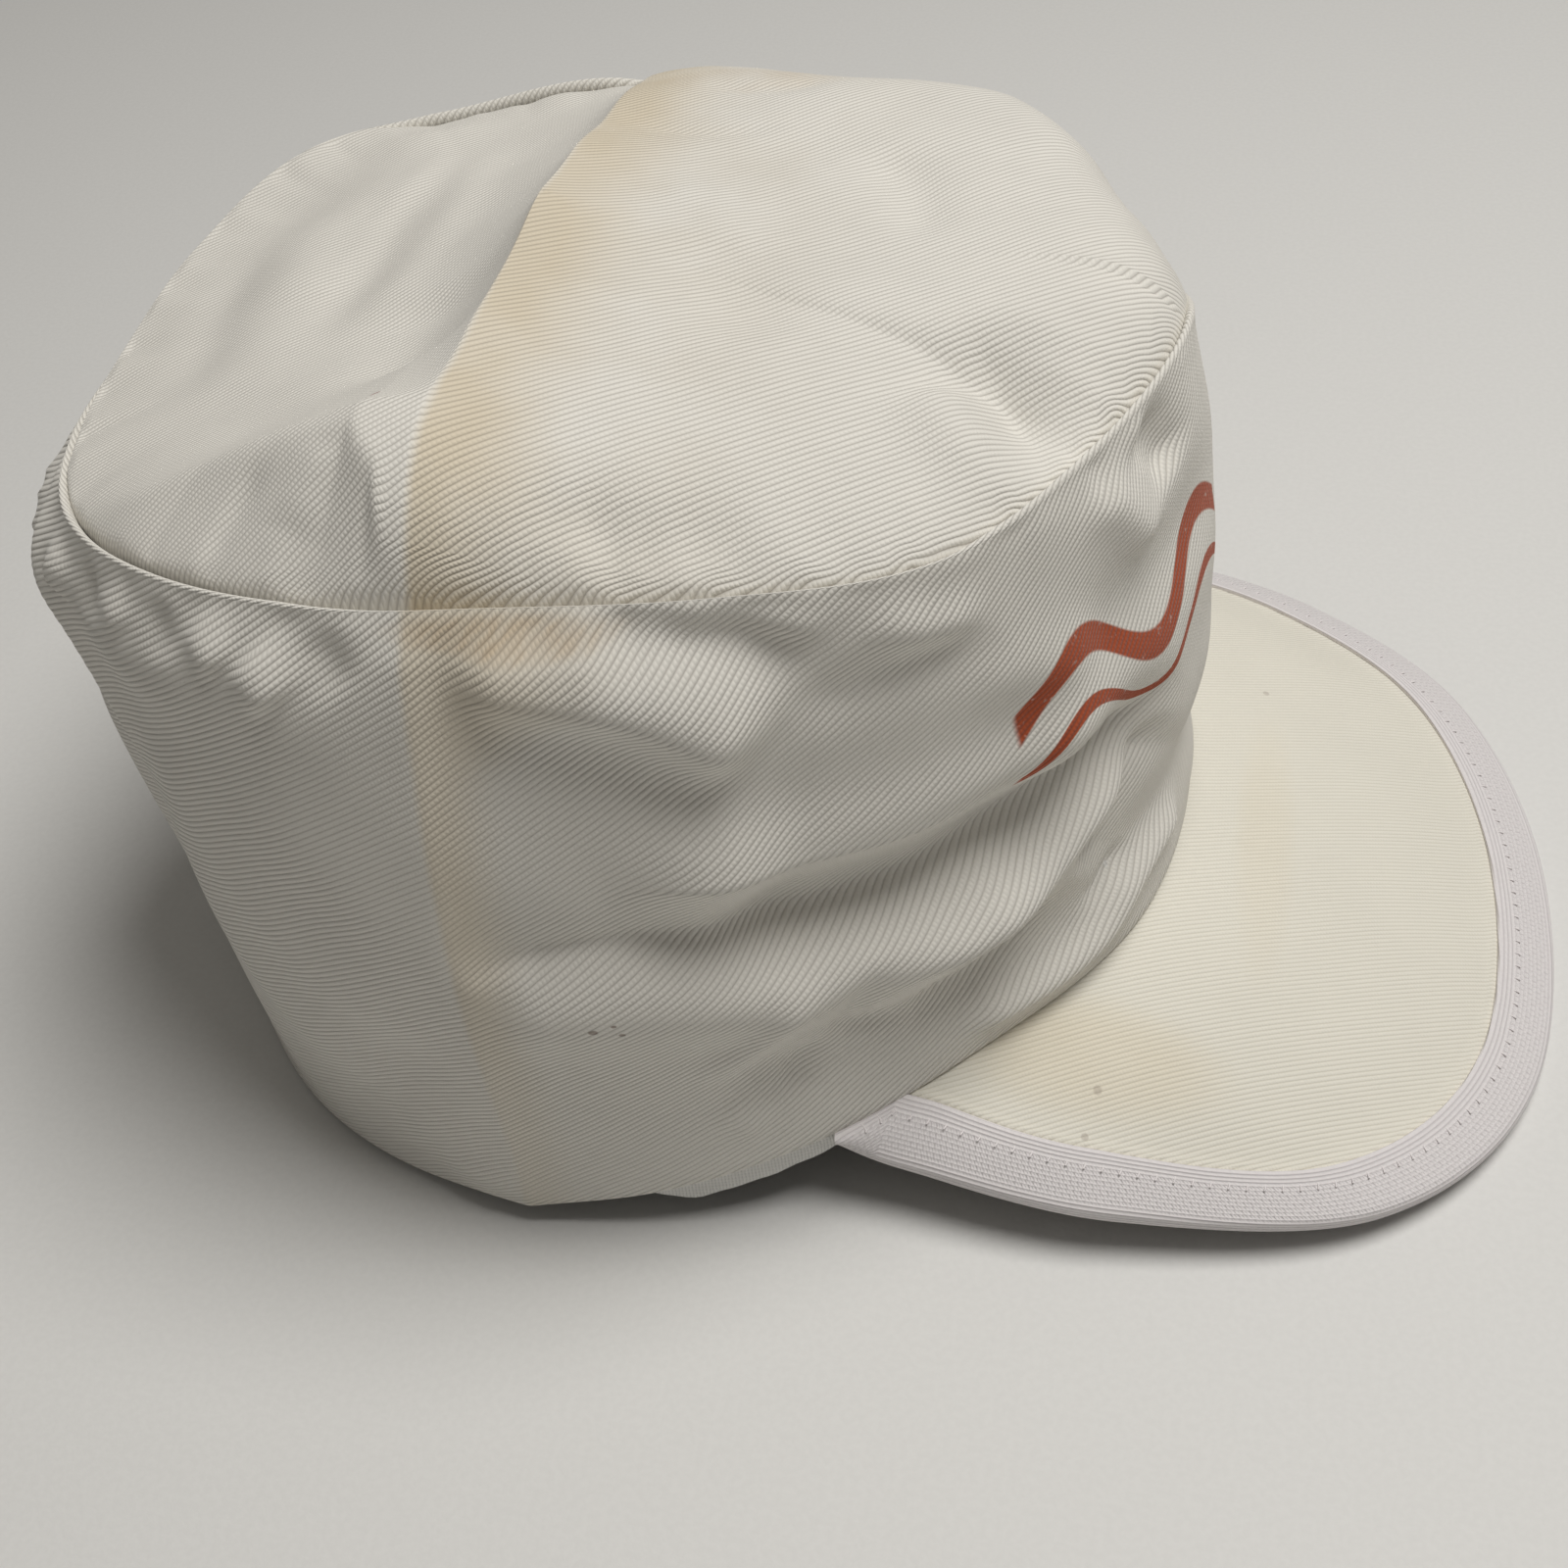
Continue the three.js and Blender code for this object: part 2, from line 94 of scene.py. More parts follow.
# The top is creased from side to side. In front of the crease it is a low dome. Behind it a hollow slopes
# to the back, and the corner towards the right-hand side is a flat facet from the seam up to a ridge.
TOP_HEIGHT = 129.5
CREASE_HEIGHT = 138.0
CREASE = ((-80, 137.7), (-49, 137.7), (0, 138.8), (19, 136.2), (32, 133.8), (54, 130.3),
          (75, 129.0))                 # y, z
CREASE_FRONT_REACH = 26
CREASE_BACK_REACH = 14
BACK_HEIGHT = 125.5
BACK_SLOPE = 0.185
BACK_FALL_REACH = 12
FACET_RIDGE = ((-80, 104.0), (-62, 114.0), (-50, 119.5), (-36, 125.2), (-22, 132.0), (-10, 137.0),
               (0, 138.5))      # x, z
RIDGE_Y = -51.5
RIDGE_REACH = 14
FACET_TURNS = (60, 162)
FACET_SLOPE = ((60, 5.0), (90, 3.0), (95, 1.4), (101, 0.98), (113, 0.79), (125, 0.66), (134, 0.86),
               (142, 1.3), (150, 3.0), (160, 6.0))      # turn, rise
FACET_EDGE = 0.45                # how softly the facet meets the hollow, in mm
FRONT_ROUND = ((0, 13.0), (10.5, 12.0), (19.5, 4.2), (40, 4.5))      # turn, as the sections' round

# The seam round the top. Where it is hidden, the top puffs out over the band's edge.
RIM_DROP = 0.5
HIDDEN_RIM_RISE = 0.25
HIDDEN_RIM_OUT = 0.3
SEAM_DIP = 2.2                   # how far the top's edge is drawn down into the seam
SEAM_DIP_REACH = 0.45
LIP_ROLLS_IN = 3.0               # how much steeper the turned edge falls in where it doesn't stand
# Where the seam lies open, and how far the band's turned edge stands out of it, as (turn, share)
SEAM_OPEN = ((0, 0.8), (10, 1), (100, 1), (136, 0.8), (146, 0.3), (152, 0), (228, 0), (236, 1), (262, 1),
             (272, 0), (346, 0), (358, 0.7), (360, 0.8))
SEAM_LIP = ((0, 1.2), (25, 1.7), (34, 1.0), (39, 0.4), (60, 0.15), (92, 0.2), (104, 0.8), (138, 0.8),
            (150, 0.2), (154, 0), (228, 0), (236, 0.9), (262, 0.9), (272, 0), (346, 0), (358, 1.1),
            (360, 1.2))
# Sections of the band's edges, from its outer face in: mm in, mm up, and mm more up where the lip stands
HEM_SECTION = ((0.0, 0.6), (0.12, 0.22), (0.4, 0.03), (0.7, 0.0), (1.0, 0.03), (1.28, 0.22), (1.4, 0.6))
LIP_SECTION = ((0.03, 0.0, 0.15), (0.2, -0.03, 0.5), (0.5, -0.1, 0.75), (0.85, -0.25, 0.75),
               (1.15, -0.5, 0.6), (1.35, -0.8, 0.4), (1.4, -1.4, 0))

# Each fold is a path with its reach in mm and its lift outwards. Taper is how much of each end fades
# away, sharp folds have a crest, and lean stretches the fold's left side and squeezes its right.
# Paths on the band are (turn, percent of the height), and on the top they are (x, y).
Fold = namedtuple("Fold", "path reach lift taper sharp lean", defaults=(0.3, False, 1.0))
FOLD_CREST = 0.12                # how round a sharp fold's crest is, as a share of its reach
BAND_FOLDS = [Fold(*row) for row in (
    (((90, 100), (90, 0)), 7, 1.8, 0, True),
    (((270, 100), (270, 0)), 7, 1.8, 0, True),
    (((92, 51.2), (82, 52.2), (72.5, 51.5), (63.5, 47.8), (56, 44.7), (49.5, 43.7), (44, 42.8),
      (34.5, 43.5), (27, 44.5), (19, 46.5), (12, 49)), 7, -4.6, 0.1, True),
    (((68, 50), (50, 46), (36, 45), (24, 46), (14, 49)), 10, -4.0, 0.2),
    (((64, 63), (44, 60), (28, 58)), 18, -2.6, 0.25),
    (((76, 61), (67, 62), (58, 60.5), (50, 59.5), (40, 59), (29, 58), (20, 58)), 8, 2.8, 0.2),
    (((91, 46), (80, 44), (66, 39), (52, 34), (42, 31), (30, 33)), 10, 3.6, 0.15),
    (((87, 94.5), (76, 91.3), (69, 88), (63, 82), (58, 76)), 7, 4.2, 0.2, False, 0.8),
    (((14, 42), (18, 38), (23, 30), (29, 25)), 5, -3.8, 0.25, True, 0.7),
    (((27, 25), (31, 22.2), (36, 16.5), (44, 18), (49, 23)), 3, -1.5, 0.3, True),
    (((156, 110), (150, 96), (145, 86), (141, 70), (138, 52)), 6, 3.4, 0.45, True),
    (((10, 71), (22, 72)), 10, -2.0, 0),
    (((196, 60), (214, 57), (232, 50)), 9, -3.2, 0.2, True, 0.7),
    (((286, 55), (308, 53), (330, 50)), 9, -3.6, 0.2, True, 0.7),
    (((76.5, 61), (67, 61.2), (58, 58.8), (50, 57), (44, 56.3), (34, 54.5)), 2.0, 0.9, 0.3, True),
    (((91, 50), (87, 50.5), (82, 50)), 4, 1.2),
    (((16, 40), (24, 36), (32, 33), (42, 30), (50, 32)), 4.5, 1.8, 0.25),
    (((8, 10), (14, 12), (20, 11), (26, 7), (35, 6.4), (43, 9)), 4, 2.6, 0.15),
    (((19, 19), (27, 13)), 2.5, -1.2, 0.4),
    (((92, 90), (84, 86.5), (77, 80), (70, 75.5), (62, 70)), 8, -1.0, 0.25),
    (((74, 97.5), (64, 96), (56, 92.5), (51, 87)), 4.5, -1.7, 0.25),
    (((56, 83), (42, 85), (36, 88)), 5, -1.5),
    (((48, 96), (43, 91), (36, 90)), 4, 1.4, 0.35),
    (((58, 97), (50, 94)), 3, 0.8, 0.4),
    (((40, 80), (32, 74), (22, 70)), 6, 1.0),
    (((15, 98.5), (12, 92), (10, 84)), 4.5, -2.8),
    (((23, 97), (19, 88), (15, 77)), 4, 1.8),
    (((50, 36), (54, 24), (47, 16.5)), 3.5, -1.4),
    (((57, 38), (60, 31), (64, 25), (71, 22)), 3.2, 1.2),
    (((58, 23), (60, 10)), 3, -1.0, 0.35),
    (((67, 15), (64, 6)), 3, 0.9, 0.35),
    (((139, 97.5), (141, 90)), 4.5, 2.2, 0.35),
    (((133, 99), (131, 90)), 3, -1.5, 0.35),
    (((127, 98.5), (124, 92)), 3.5, 1.4, 0.35),
    (((119, 99), (117, 91)), 3.2, -1.4, 0.35),
    (((113, 99), (109, 92)), 4, 2.2, 0.35),
    (((107, 96), (103, 89)), 4.5, 2.6, 0.35),
    (((100, 98.5), (96, 91)), 4, -1.3, 0.35),
    (((154, 97.5), (161, 90)), 1.6, 1.0, 0.3, True),
    (((157, 98), (165, 91)), 1.6, 0.9, 0.3, True),
    (((153, 93), (158, 87)), 1.6, 0.8, 0.3, True),
    (((96, 42), (104, 20), (112, 8)), 9, -1.2),
    (((124, 72), (112, 58), (98, 52)), 10, -1.0),
    (((90, 3), (101, 8)), 4, 0.8, 0.4),
    (((200, 78), (224, 66), (238, 68)), 5, 1.8),
    (((168, 40), (186, 30), (202, 33)), 6, -2.0),
    (((244, 40), (256, 24), (268, 20)), 6, 1.6),
    (((236, 94), (248, 84), (254, 72)), 5, 2.0),
    (((284, 86), (300, 78), (318, 83)), 6, 2.0),
    (((290, 38), (306, 28), (326, 24)), 5, -2.0),
    (((330, 66), (346, 62), (358, 66)), 6, -1.6),
)]
TOP_FOLDS = [Fold(*row) for row in (
    (((-13, -36), (-15, -4)), 10, -2.6),
    (((64, -15), (67, -19), (72, -26), (77, -33), (83, -42)), 7, -3.6, 0.3, True),
    (((60, -26), (68, -37), (76, -48)), 6, 2.4, 0.25),
    (((-46, 10), (-40, 60)), 10, 1.5, 0),
    (((24, 52), (66, 42)), 20, 2.3, 0),
    (((-24, -55), (-28, -61), (-33, -67)), 3, -0.9),
    (((-14, -56), (-18, -66)), 5, 0.9),
    (((-27, 52), (-25, 20), (-28, -12)), 5.0, 1.0),
    (((-38, 36), (-35, 4), (-36, -18)), 5.0, -0.8),
    (((-55, 40), (-51, 16), (-45, -24)), 7, 0.9),
    (((-34, 52), (-38, 22), (-36, 4)), 3.5, 0.5),
    (((-62, 26), (-60, 2), (-54, -26)), 5, -0.7),
    (((20, -2), (31, -12), (40, -26)), 9, -1.1),
    (((12, 12), (24, 8), (31, -6)), 5, 0.6),
    (((44, 30), (52, 18), (56, 2)), 5, -1.4),
    (((4, 33), (16, 31), (30, 34)), 2.0, -0.5),
    (((12, -60), (28, -65), (46, -61)), 6, -2.4),
    (((10, 50), (24, 48), (36, 52)), 2.6, -0.7),
)]

# Puckers along the seam between the band and the top, where the longer edge is eased into the shorter
PUCKERS = 64
PUCKER_SEED = 11
PUCKER_SIZE = (0.18, 0.5)        # how high, in mm
PUCKER_WIDTH = (1.2, 2.6)        # in degrees of turn
PUCKER_LENGTH = (5.0, 15.0)
# Slight unevenness of the cloth: random seed, wavelength and height in mm
BAND_UNEVENNESS = (3, 34, 0.28)
TOP_UNEVENNESS = (5, 30, 0.25)
PEAK_UNEVENNESS = (7, 42, 0.22)

# The peak's outer edge, from its near end, round its tip, to the far end
PEAK_EDGE_COLUMNS = ("x", "y", "z", "binding")
PEAK_EDGE = (
    (49.2, -76.7, 15.6, 11.5),
    (62.0, -78.0, 12.2, 11.5),
    (94.4, -80.6, 9.4, 11.5),
    (135.8, -71.6, 6.0, 10.0),
    (160.8, -41.7, 3.4, 10.6),
    (165.0, 7.2, 3.4, 11.5),
    (151.4, 47.2, 6.3, 11.5),
    (123.6, 69.3, 9.5, 11.5),
    (92.6, 79.3, 11.9, 11.5),
    (66.9, 82.3, 13.8, 11.5),
    (49.2, 76.7, 15.6, 11.5),
)
PEAK_END_TURN = 57.5
PEAK_REACH = 0.955
PEAK_BOARD = 2.4
PEAK_CAMBER = 1.2
PEAK_TUCK = 0.8
PEAK_TRIM = 1.6
# Small ridges that the binding presses up beside it: mm high, mm away from it and mm wide
PRESSED_RIDGES = ((0.45, 0.7, 0.8), (0.12, 2.5, 2))
BINDING_REACH = 0.985            # how far round the binding runs, in stations
BINDING_TUCK = 1.3               # how far its ends run in under the hem
BINDING_SWELL = 0.16
BINDING_ROUND = (1.15, 1.4)      # where the folded edge's arc is centred, and how far it reaches

# Stitches along the binding
STITCH_STEP = 2.8
STITCH_LENGTH = 1.9
STITCH_RADIUS = 0.15
STITCH_FROM_EDGE = 2.9           # in from the binding's inner edge
STITCH_LIFT = 0.12
STITCH_SINK = 0.94               # of its length, so that the bent thread's ends are in the tape
STITCH_WANDER = 0.12
STITCH_SEED = 4

# The sweatband's edges, in shares of the band's height: how far it shows below the hem, and its top
SWEATBAND_SHOWS = 0.026
SWEATBAND_BESIDE_PEAK = 0.05
SWEATBAND_BACK = 0.012
SWEATBAND_TOP = 0.22
SWEATBAND_RIPPLE = 0.0022
BESIDE_PEAK_FROM = 52            # turns where it drops beside the peak, and where it draws back
DRAWS_BACK_FROM = 70

# How finely the pieces are divided
CROWN_COLUMNS = 600
BAND_ROWS = 108
TOP_RINGS = 84
PEAK_COLUMNS = 300
PEAK_ROWS = 72
BINDING_COLUMNS = 420
SWEATBAND_COLUMNS = 360
HEM_ENDS = 0.01                  # where the hem's rounded edge meets the outer face, as a share
INNER_STEP = 5                   # the band's inner face has one row to this many outside
LOWER_STEP = 4                   # and the top's lower face one ring

# The grid on which the top's cloth is laid flat, in mm
LAY_STEP = 3.0
LAY_SIDE = 105.0
LAY_ROUNDS = 400
LAY_PULL = 0.11

# The printed waves, with sizes in metres
WAVE_TURNS = 35
WAVE_UP = 0.62
WAVE_HALF_LENGTH = 0.019
WAVE_SWING = 0.0055
WAVE_LINES = ((0.0035, 0.0026), (-0.0065, 0.0012))   # each above or below the middle, and half its width

# Stains, each with its centre and its reach both ways in metres, and its softness
RUST_AT = (80, 0.975)            # turn, share of the height
RUST = ((0.016, 0.0022), 0.8)
SMUDGE = ((0.020, 0.053), (0.014, 0.006), 0.8)
RED_SPOT = ((-0.011, -0.046), (0.0008, 0.0004), 0.6)
TAN = ((0.0885, -0.0585), (0.019, 0.0085), 0.9)
TAN_STREAK = ((0.1145, -0.009), (0.0045, 0.026), 0.9)

# Dark specks with their size in metres: the wall's at (turn, share of the height), the peak's at (u, v)
WALL_SPECKS = ((78, 0.41, 0.0007), (75.4, 0.395, 0.0005), (76, 0.415, 0.0004))
PEAK_SPECKS = ((0.089, -0.0706, 0.0006), (0.0903, -0.0634, 0.0007), (0.1137, 0.0294, 0.0006))

# Colours
WHITE_COTTON = (0.80, 0.775, 0.715)
PEAK_COTTON = (0.815, 0.785, 0.695)
TAPE_WHITE = (0.80, 0.765, 0.765)
SWEAT_STAIN = (0.90, 0.825, 0.70)        # what a stain takes from the colour under it
TAN_STAIN = (0.98, 0.93, 0.84)
BROWN_MARK = (0.82, 0.69, 0.54)
DARK_SPECK = (0.30, 0.24, 0.20)
RED_SPECK = (0.28, 0.03, 0.03)
ORANGE_INK = (0.43, 0.085, 0.03)
PAINTED_GROOVE_SHADE = (0.77, 0.76, 0.75)        # painted shade: the colour the cloth takes in the grooves between its ribs
# painted shade in the grooves between the peak's ribs
PEAK_PAINTED_GROOVE_SHADE = (0.88, 0.87, 0.84)
# painted shade in the grooves of the woven tape
TAPE_PAINTED_GROOVE_SHADE = (0.86, 0.84, 0.85)

# Camera, light and floor
CAMERA_AT = (0.05894, -0.25158, 0.27811)
CAMERA_YAW = 16.06
CAMERA_PITCH = 44.87
CAMERA_ROLL = -6.72
LENS = 45.0
SENSOR = 36.0
WINDOW_TOWARDS = (0.28, 0.05, 1.0)
WINDOW_DISTANCE = 1.1
WINDOW_SIZE = 0.62
WINDOW_POWER = 9.9
WINDOW_COLOUR = (1.0, 0.985, 0.96)
CAP_MIDDLE = (0, 0, 0.06)
ROOM_COLOUR = (1.0, 0.96, 0.9, 1.0)
ROOM_LIGHT = 0.14
FLOOR_SIDE = 3.0


# Maths shared by the pieces

def smooth(x):
    x = np.clip(x, 0, 1)
    return x * x * (3 - 2 * x)


def mix(a, b, share):
    return a + (b - a) * share


def curve_through(a, b, c, d, s):
    """The smooth curve from b to c at share s, with its neighbours a and d."""
    return b + 0.5 * s * (c - a + s * (2 * a - 5 * b + 4 * c - d + s * (3 * (b - c) + d - a)))


def curve_slope(a, b, c, d, s):
    return 0.5 * (c - a + 2 * s * (2 * a - 5 * b + 4 * c - d) + 3 * s * s * (3 * (b - c) + d - a))


def column_of(table, columns, name):
    return np.array(table)[:, columns.index(name)]


def section(turn, column):
    """A value of the crown's sections at any turn, on a smooth closed curve through the rows."""
    rows = column_of(SECTIONS, SECTION_COLUMNS, column)
    place = np.mod(turn, 360) / SECTION_STEP
    i = np.floor(place).astype(int)
    a, b, c, d = (rows[np.mod(i + k, len(rows))] for k in (-1, 0, 1, 2))
    return curve_through(a, b, c, d, place - i)


def smooth_path(points, steps=6):
    """A path through the given points with its corners rounded."""
    points = [np.array(p, float) for p in points]
    if len(points) < 3:
        return points
    padded = [2 * points[0] - points[1], *points, 2 * points[-1] - points[-2]]
    rounded = []
    for i in range(1, len(padded) - 2):
        rounded += [curve_through(*padded[i - 1:i + 3], s / steps) for s in range(steps)]
    return [*rounded, points[-1]]


def fold_height(x, y, fold):
    """How far one fold lifts the cloth at each point of the plane that its path lies in."""
    path = smooth_path(fold.path)
    lengths = [math.dist(a, b) for a, b in zip(path, path[1:])]
    nearest, side, along = np.full(x.shape, np.inf), np.zeros(x.shape), np.zeros(x.shape)
    done = 0.0
    for (x0, y0), (x1, y1), length in zip(path, path[1:], lengths):
        dx, dy = (x1 - x0) / length, (y1 - y0) / length
        t = np.clip((x - x0) * dx + (y - y0) * dy, 0, length)
        ox, oy = x - x0 - t * dx, y - y0 - t * dy
        distance = np.hypot(ox, oy)
        closer = distance < nearest
        nearest = np.where(closer, distance, nearest)
        side = np.where(closer, np.sign(dx * oy - dy * ox), side)
        along = np.where(closer, (done + t) / sum(lengths), along)
        done += length
    d = nearest / (fold.reach * np.where(side > 0, fold.lean, 1 / fold.lean))
    if fold.sharp:
        share = np.exp(FOLD_CREST - np.sqrt(d * d + FOLD_CREST * FOLD_CREST))
    else:
        share = np.exp(-d * d)
    if fold.taper:
        share = share * smooth(np.minimum(along, 1 - along) / fold.taper)
    return fold.lift * share


def cloth_unevenness(x, y, seed, wavelength, height, waves=14):
    """Slight, smooth unevenness: a seeded sum of waves in all directions, wavelength in mm."""
    rng = np.random.default_rng(seed)
    total = np.zeros(np.broadcast(x, y).shape)
    for _ in range(waves):
        angle = rng.uniform(0, math.pi)
        length = wavelength * rng.uniform(0.6, 1.6)
        phase = rng.uniform(0, 2 * math.pi)
        along = x * math.cos(angle) + y * math.sin(angle)
        total += np.sin(2 * math.pi * along / length + phase)
    return height * total / math.sqrt(waves)


# The crown

def make_puckers():
    rng = np.random.default_rng(PUCKER_SEED)
    turns = (np.arange(PUCKERS) + rng.uniform(-0.35, 0.35, PUCKERS)) * 360 / PUCKERS
    heights = rng.uniform(*PUCKER_SIZE, PUCKERS) * np.where(np.arange(PUCKERS) % 2, 1, -1)
    widths = rng.uniform(*PUCKER_WIDTH, PUCKERS)
    return list(zip(turns, heights, widths, rng.uniform(*PUCKER_LENGTH, PUCKERS)))


SEAM_PUCKERS = make_puckers()


def pucker_height(turn, from_seam):
    """The seam's small puckers, at a distance in mm from it."""
    total = np.zeros(np.broadcast(turn, from_seam).shape)
    for at, height, width, length in SEAM_PUCKERS:
        around = (turn - at + 180) % 360 - 180
        total += height * np.exp(-(around / width) ** 2) * np.exp(-((from_seam / length) ** 2))
    return total


def band_lift(turn, up):
    """How far folds, dents and puckers push the band out."""
    total = np.zeros(turn.shape)
    height = up * BAND_HEIGHT
    for fold in BAND_FOLDS:
        middle = sum(t for t, _ in fold.path) / len(fold.path)
        near = middle + (turn - middle + 180) % 360 - 180
        path = [(t * ARC_PER_DEGREE, u / 100 * BAND_HEIGHT) for t, u in fold.path]
        total += fold_height(near * ARC_PER_DEGREE, height, fold._replace(path=path))
    total *= np.clip((1 - up) / 0.05, 0, 1)
    hush = smooth((1 - up) / 0.04) * smooth(up / 0.05)
    around = np.radians(turn)
    across, round_by = 88 * np.cos(around) + height, 88 * np.sin(around)
    total += hush * cloth_unevenness(across, round_by, *BAND_UNEVENNESS)
    return total + pucker_height(turn, (1 - up) * BAND_HEIGHT) * smooth((1 - up) / 0.012)


def band_point(turn, up, inward, lift=None):
    """A point of the band, from 0 at the hem to 1 at the seam, some way in from its outer face."""
    belly = section(turn, "belly") * np.sin(math.pi * np.maximum(0, up) ** BELLY_LEAN)
    shoulder = section(turn, "shoulder") * np.exp(-(((up - SHOULDER_UP) / SHOULDER_REACH) ** 2))
    waist = section(turn, "waist") * np.exp(-(((up - WAIST_UP) / WAIST_REACH) ** 2))
    if lift is None:
        lift = band_lift(turn, up)
    r = mix(section(turn, "hem_r"), section(turn, "seam_r"), up)
    r = r + belly + shoulder - waist + lift - inward
    z = mix(np.maximum(0, section(turn, "hem_z")), section(turn, "seam_z"), up)
    around = np.radians(turn)
    return np.stack([r * np.cos(around), -r * np.sin(around), z], -1)


def along_table(table, value):
    places, values = zip(*table)
    return np.interp(value, places, values)


def top_height(x, y):
    """The top's height inside its rim: the low dome in front, the crease, and the hollow behind it."""
    crease = along_table(CREASE, y)
    front = TOP_HEIGHT + (crease - TOP_HEIGHT) * np.exp(-np.maximum(x, 0) / CREASE_FRONT_REACH)
    behind = np.minimum(x, 0)
    fall = (CREASE_HEIGHT - BACK_HEIGHT) * np.exp(behind / BACK_FALL_REACH)
    hollow = BACK_HEIGHT + BACK_SLOPE * behind + fall
    back = hollow + (crease - CREASE_HEIGHT) * np.exp(behind / CREASE_BACK_REACH)
    raised = np.maximum(0, along_table(FACET_RIDGE, behind) - hollow)
    back = back + raised * np.exp(-np.maximum(0, y - RIDGE_Y) / RIDGE_REACH)
    return np.where(x > 0, front, back)


def roundness(turn):
    """How flat the top stays before it falls to the seam: less beyond the valley beside the front."""
    turn = turn % 360
    return np.where(turn < 40, along_table(FRONT_ROUND, turn), section(turn, "round"))


def lower_of(a, b, softness):
    """The lower of two heights, with a soft corner where they cross."""
    return (a + b - np.hypot(a - b, softness)) / 2


def top_point(turn, out, down, lift=None):
    """A point of the top panel, from 0 at its middle to 1 at its rim, some way below its upper face."""
    hidden = 1 - along_table(SEAM_OPEN, turn % 360)
    rim = section(turn, "seam_r") - mix(CLOTH, -HIDDEN_RIM_OUT, hidden)
    around = np.radians(turn)
    x, y = out * rim * np.cos(around), -out * rim * np.sin(around)
    rim_z = section(turn, "seam_z") + mix(-RIM_DROP, HIDDEN_RIM_RISE, hidden)
    z = mix(top_height(x, y), rim_z, out ** roundness(turn))
    facet = rim_z + FACET_EDGE / 2 + along_table(FACET_SLOPE, turn % 360) * (1 - out) * rim
    in_facet = (turn % 360 > FACET_TURNS[0]) & (turn % 360 < FACET_TURNS[1])
    z = np.where(in_facet, lower_of(z, facet, FACET_EDGE), z)
    if lift is None:
        lift = top_lift(x, y, turn, out, (1 - out) * rim)
    return np.stack([x, y, z + lift - down], -1)


def top_lift(x, y, turn, out, from_rim):
    towards_rim = np.clip((1 - out) / 0.12, 0, 1)
    total = np.zeros(x.shape)
    for fold in TOP_FOLDS:
        total += towards_rim * fold_height(x, y, fold)
    total += towards_rim * cloth_unevenness(x, y, *TOP_UNEVENNESS)
    total += pucker_height(turn, from_rim) * smooth(from_rim / 1.5)
    return total - SEAM_DIP * along_table(SEAM_OPEN, turn % 360) * np.exp(-from_rim / SEAM_DIP_REACH)


# Meshes from rows of points

def add_object(name, data):
    made = bpy.data.objects.new(name, data)
    bpy.context.scene.collection.objects.link(made)
    return made


def end_caps(rows):
    """Rings of point numbers that close both ends of rows of points."""
    count, columns = rows.shape[:2]
    return [range(0, count * columns, columns)[::-1], range(columns - 1, count * columns, columns)]


def cloth_mesh(name, rows, uv, finish, close_rows, close_columns, caps=()):
    """A mesh over a grid of points in mm, with a UV map in metres. Its faces look outwards where rows go
    up and columns go round anticlockwise. Caps are rings of point numbers to be filled."""
    count_rows, count_columns = rows.shape[:2]
    shifted = (rows.reshape(-1, 3) + (FOLDS_AT, 0, 0)) * MM
    row_pairs = count_rows if close_rows else count_rows - 1
    column_pairs = count_columns if close_columns else count_columns - 1
    i, j = np.meshgrid(np.arange(row_pairs), np.arange(column_pairs), indexing="ij")
    corner_steps = ((0, 0), (0, 1), (1, 1), (1, 0))
    corners = [((i + a) % count_rows) * count_columns + (j + b) % count_columns for a, b in corner_steps]
    faces = np.stack(corners, -1).reshape(-1, 4)
    corner_uv = np.stack([uv[i + a, j + b] for a, b in corner_steps], -2).reshape(-1, 2)
    mesh = bpy.data.meshes.new(name)
    mesh.from_pydata(shifted.tolist(), [], faces.tolist() + [list(cap) for cap in caps])
    layer = mesh.uv_layers.new(name="cloth")
    spare = np.array([uv[0, 0]] * sum(len(cap) for cap in caps)).reshape(-1, 2)
    layer.data.foreach_set("uv", (np.concatenate([corner_uv, spare]) * MM).ravel())
    mesh.polygons.foreach_set("use_smooth", [True] * len(mesh.polygons))
    mesh.materials.append(finish)
    mesh.update()
    return add_object(name, mesh)


def belongs(piece, node):
    """The piece stands for its CAD node: it hangs from the root, and the node's own mesh is hidden."""
    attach(piece, "root")
    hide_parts(node)


def turns_round(count):
    return 360 - np.arange(count) * 360 / count


TURNS = turns_round(CROWN_COLUMNS)


def girth(turn):
    """Length round the band's middle from the front, in mm, so that the weave keeps its size."""
    turns = np.arange(-360, 721, 2.0)
    points = band_point(turns, np.full(turns.shape, 0.5), 0, lift=0)
    steps = np.linalg.norm(np.diff(points[:, :2], axis=0), axis=1)
    lengths = np.concatenate([[0], np.cumsum(steps)])
    return np.interp(turn, turns, lengths) - np.interp(0, turns, lengths)


def round_crown(name, rows, v, turns, finish):
    """A piece that runs once round the crown, with its UV map from its turns and the given v."""
    v = np.concatenate([v, v[:, :1]], 1)
    uv = np.stack(np.broadcast_arrays(girth(np.append(turns, 0.0)), v), -1)
    return cloth_mesh(name, rows, uv, finish, True, True)


def band_spot(turn, up):
    """Where a mark on the band lies on its UV map, in metres."""
    z = mix(max(0, float(section(turn, "hem_z"))), float(section(turn, "seam_z")), up)
    return float(girth(turn)) * MM, z * MM


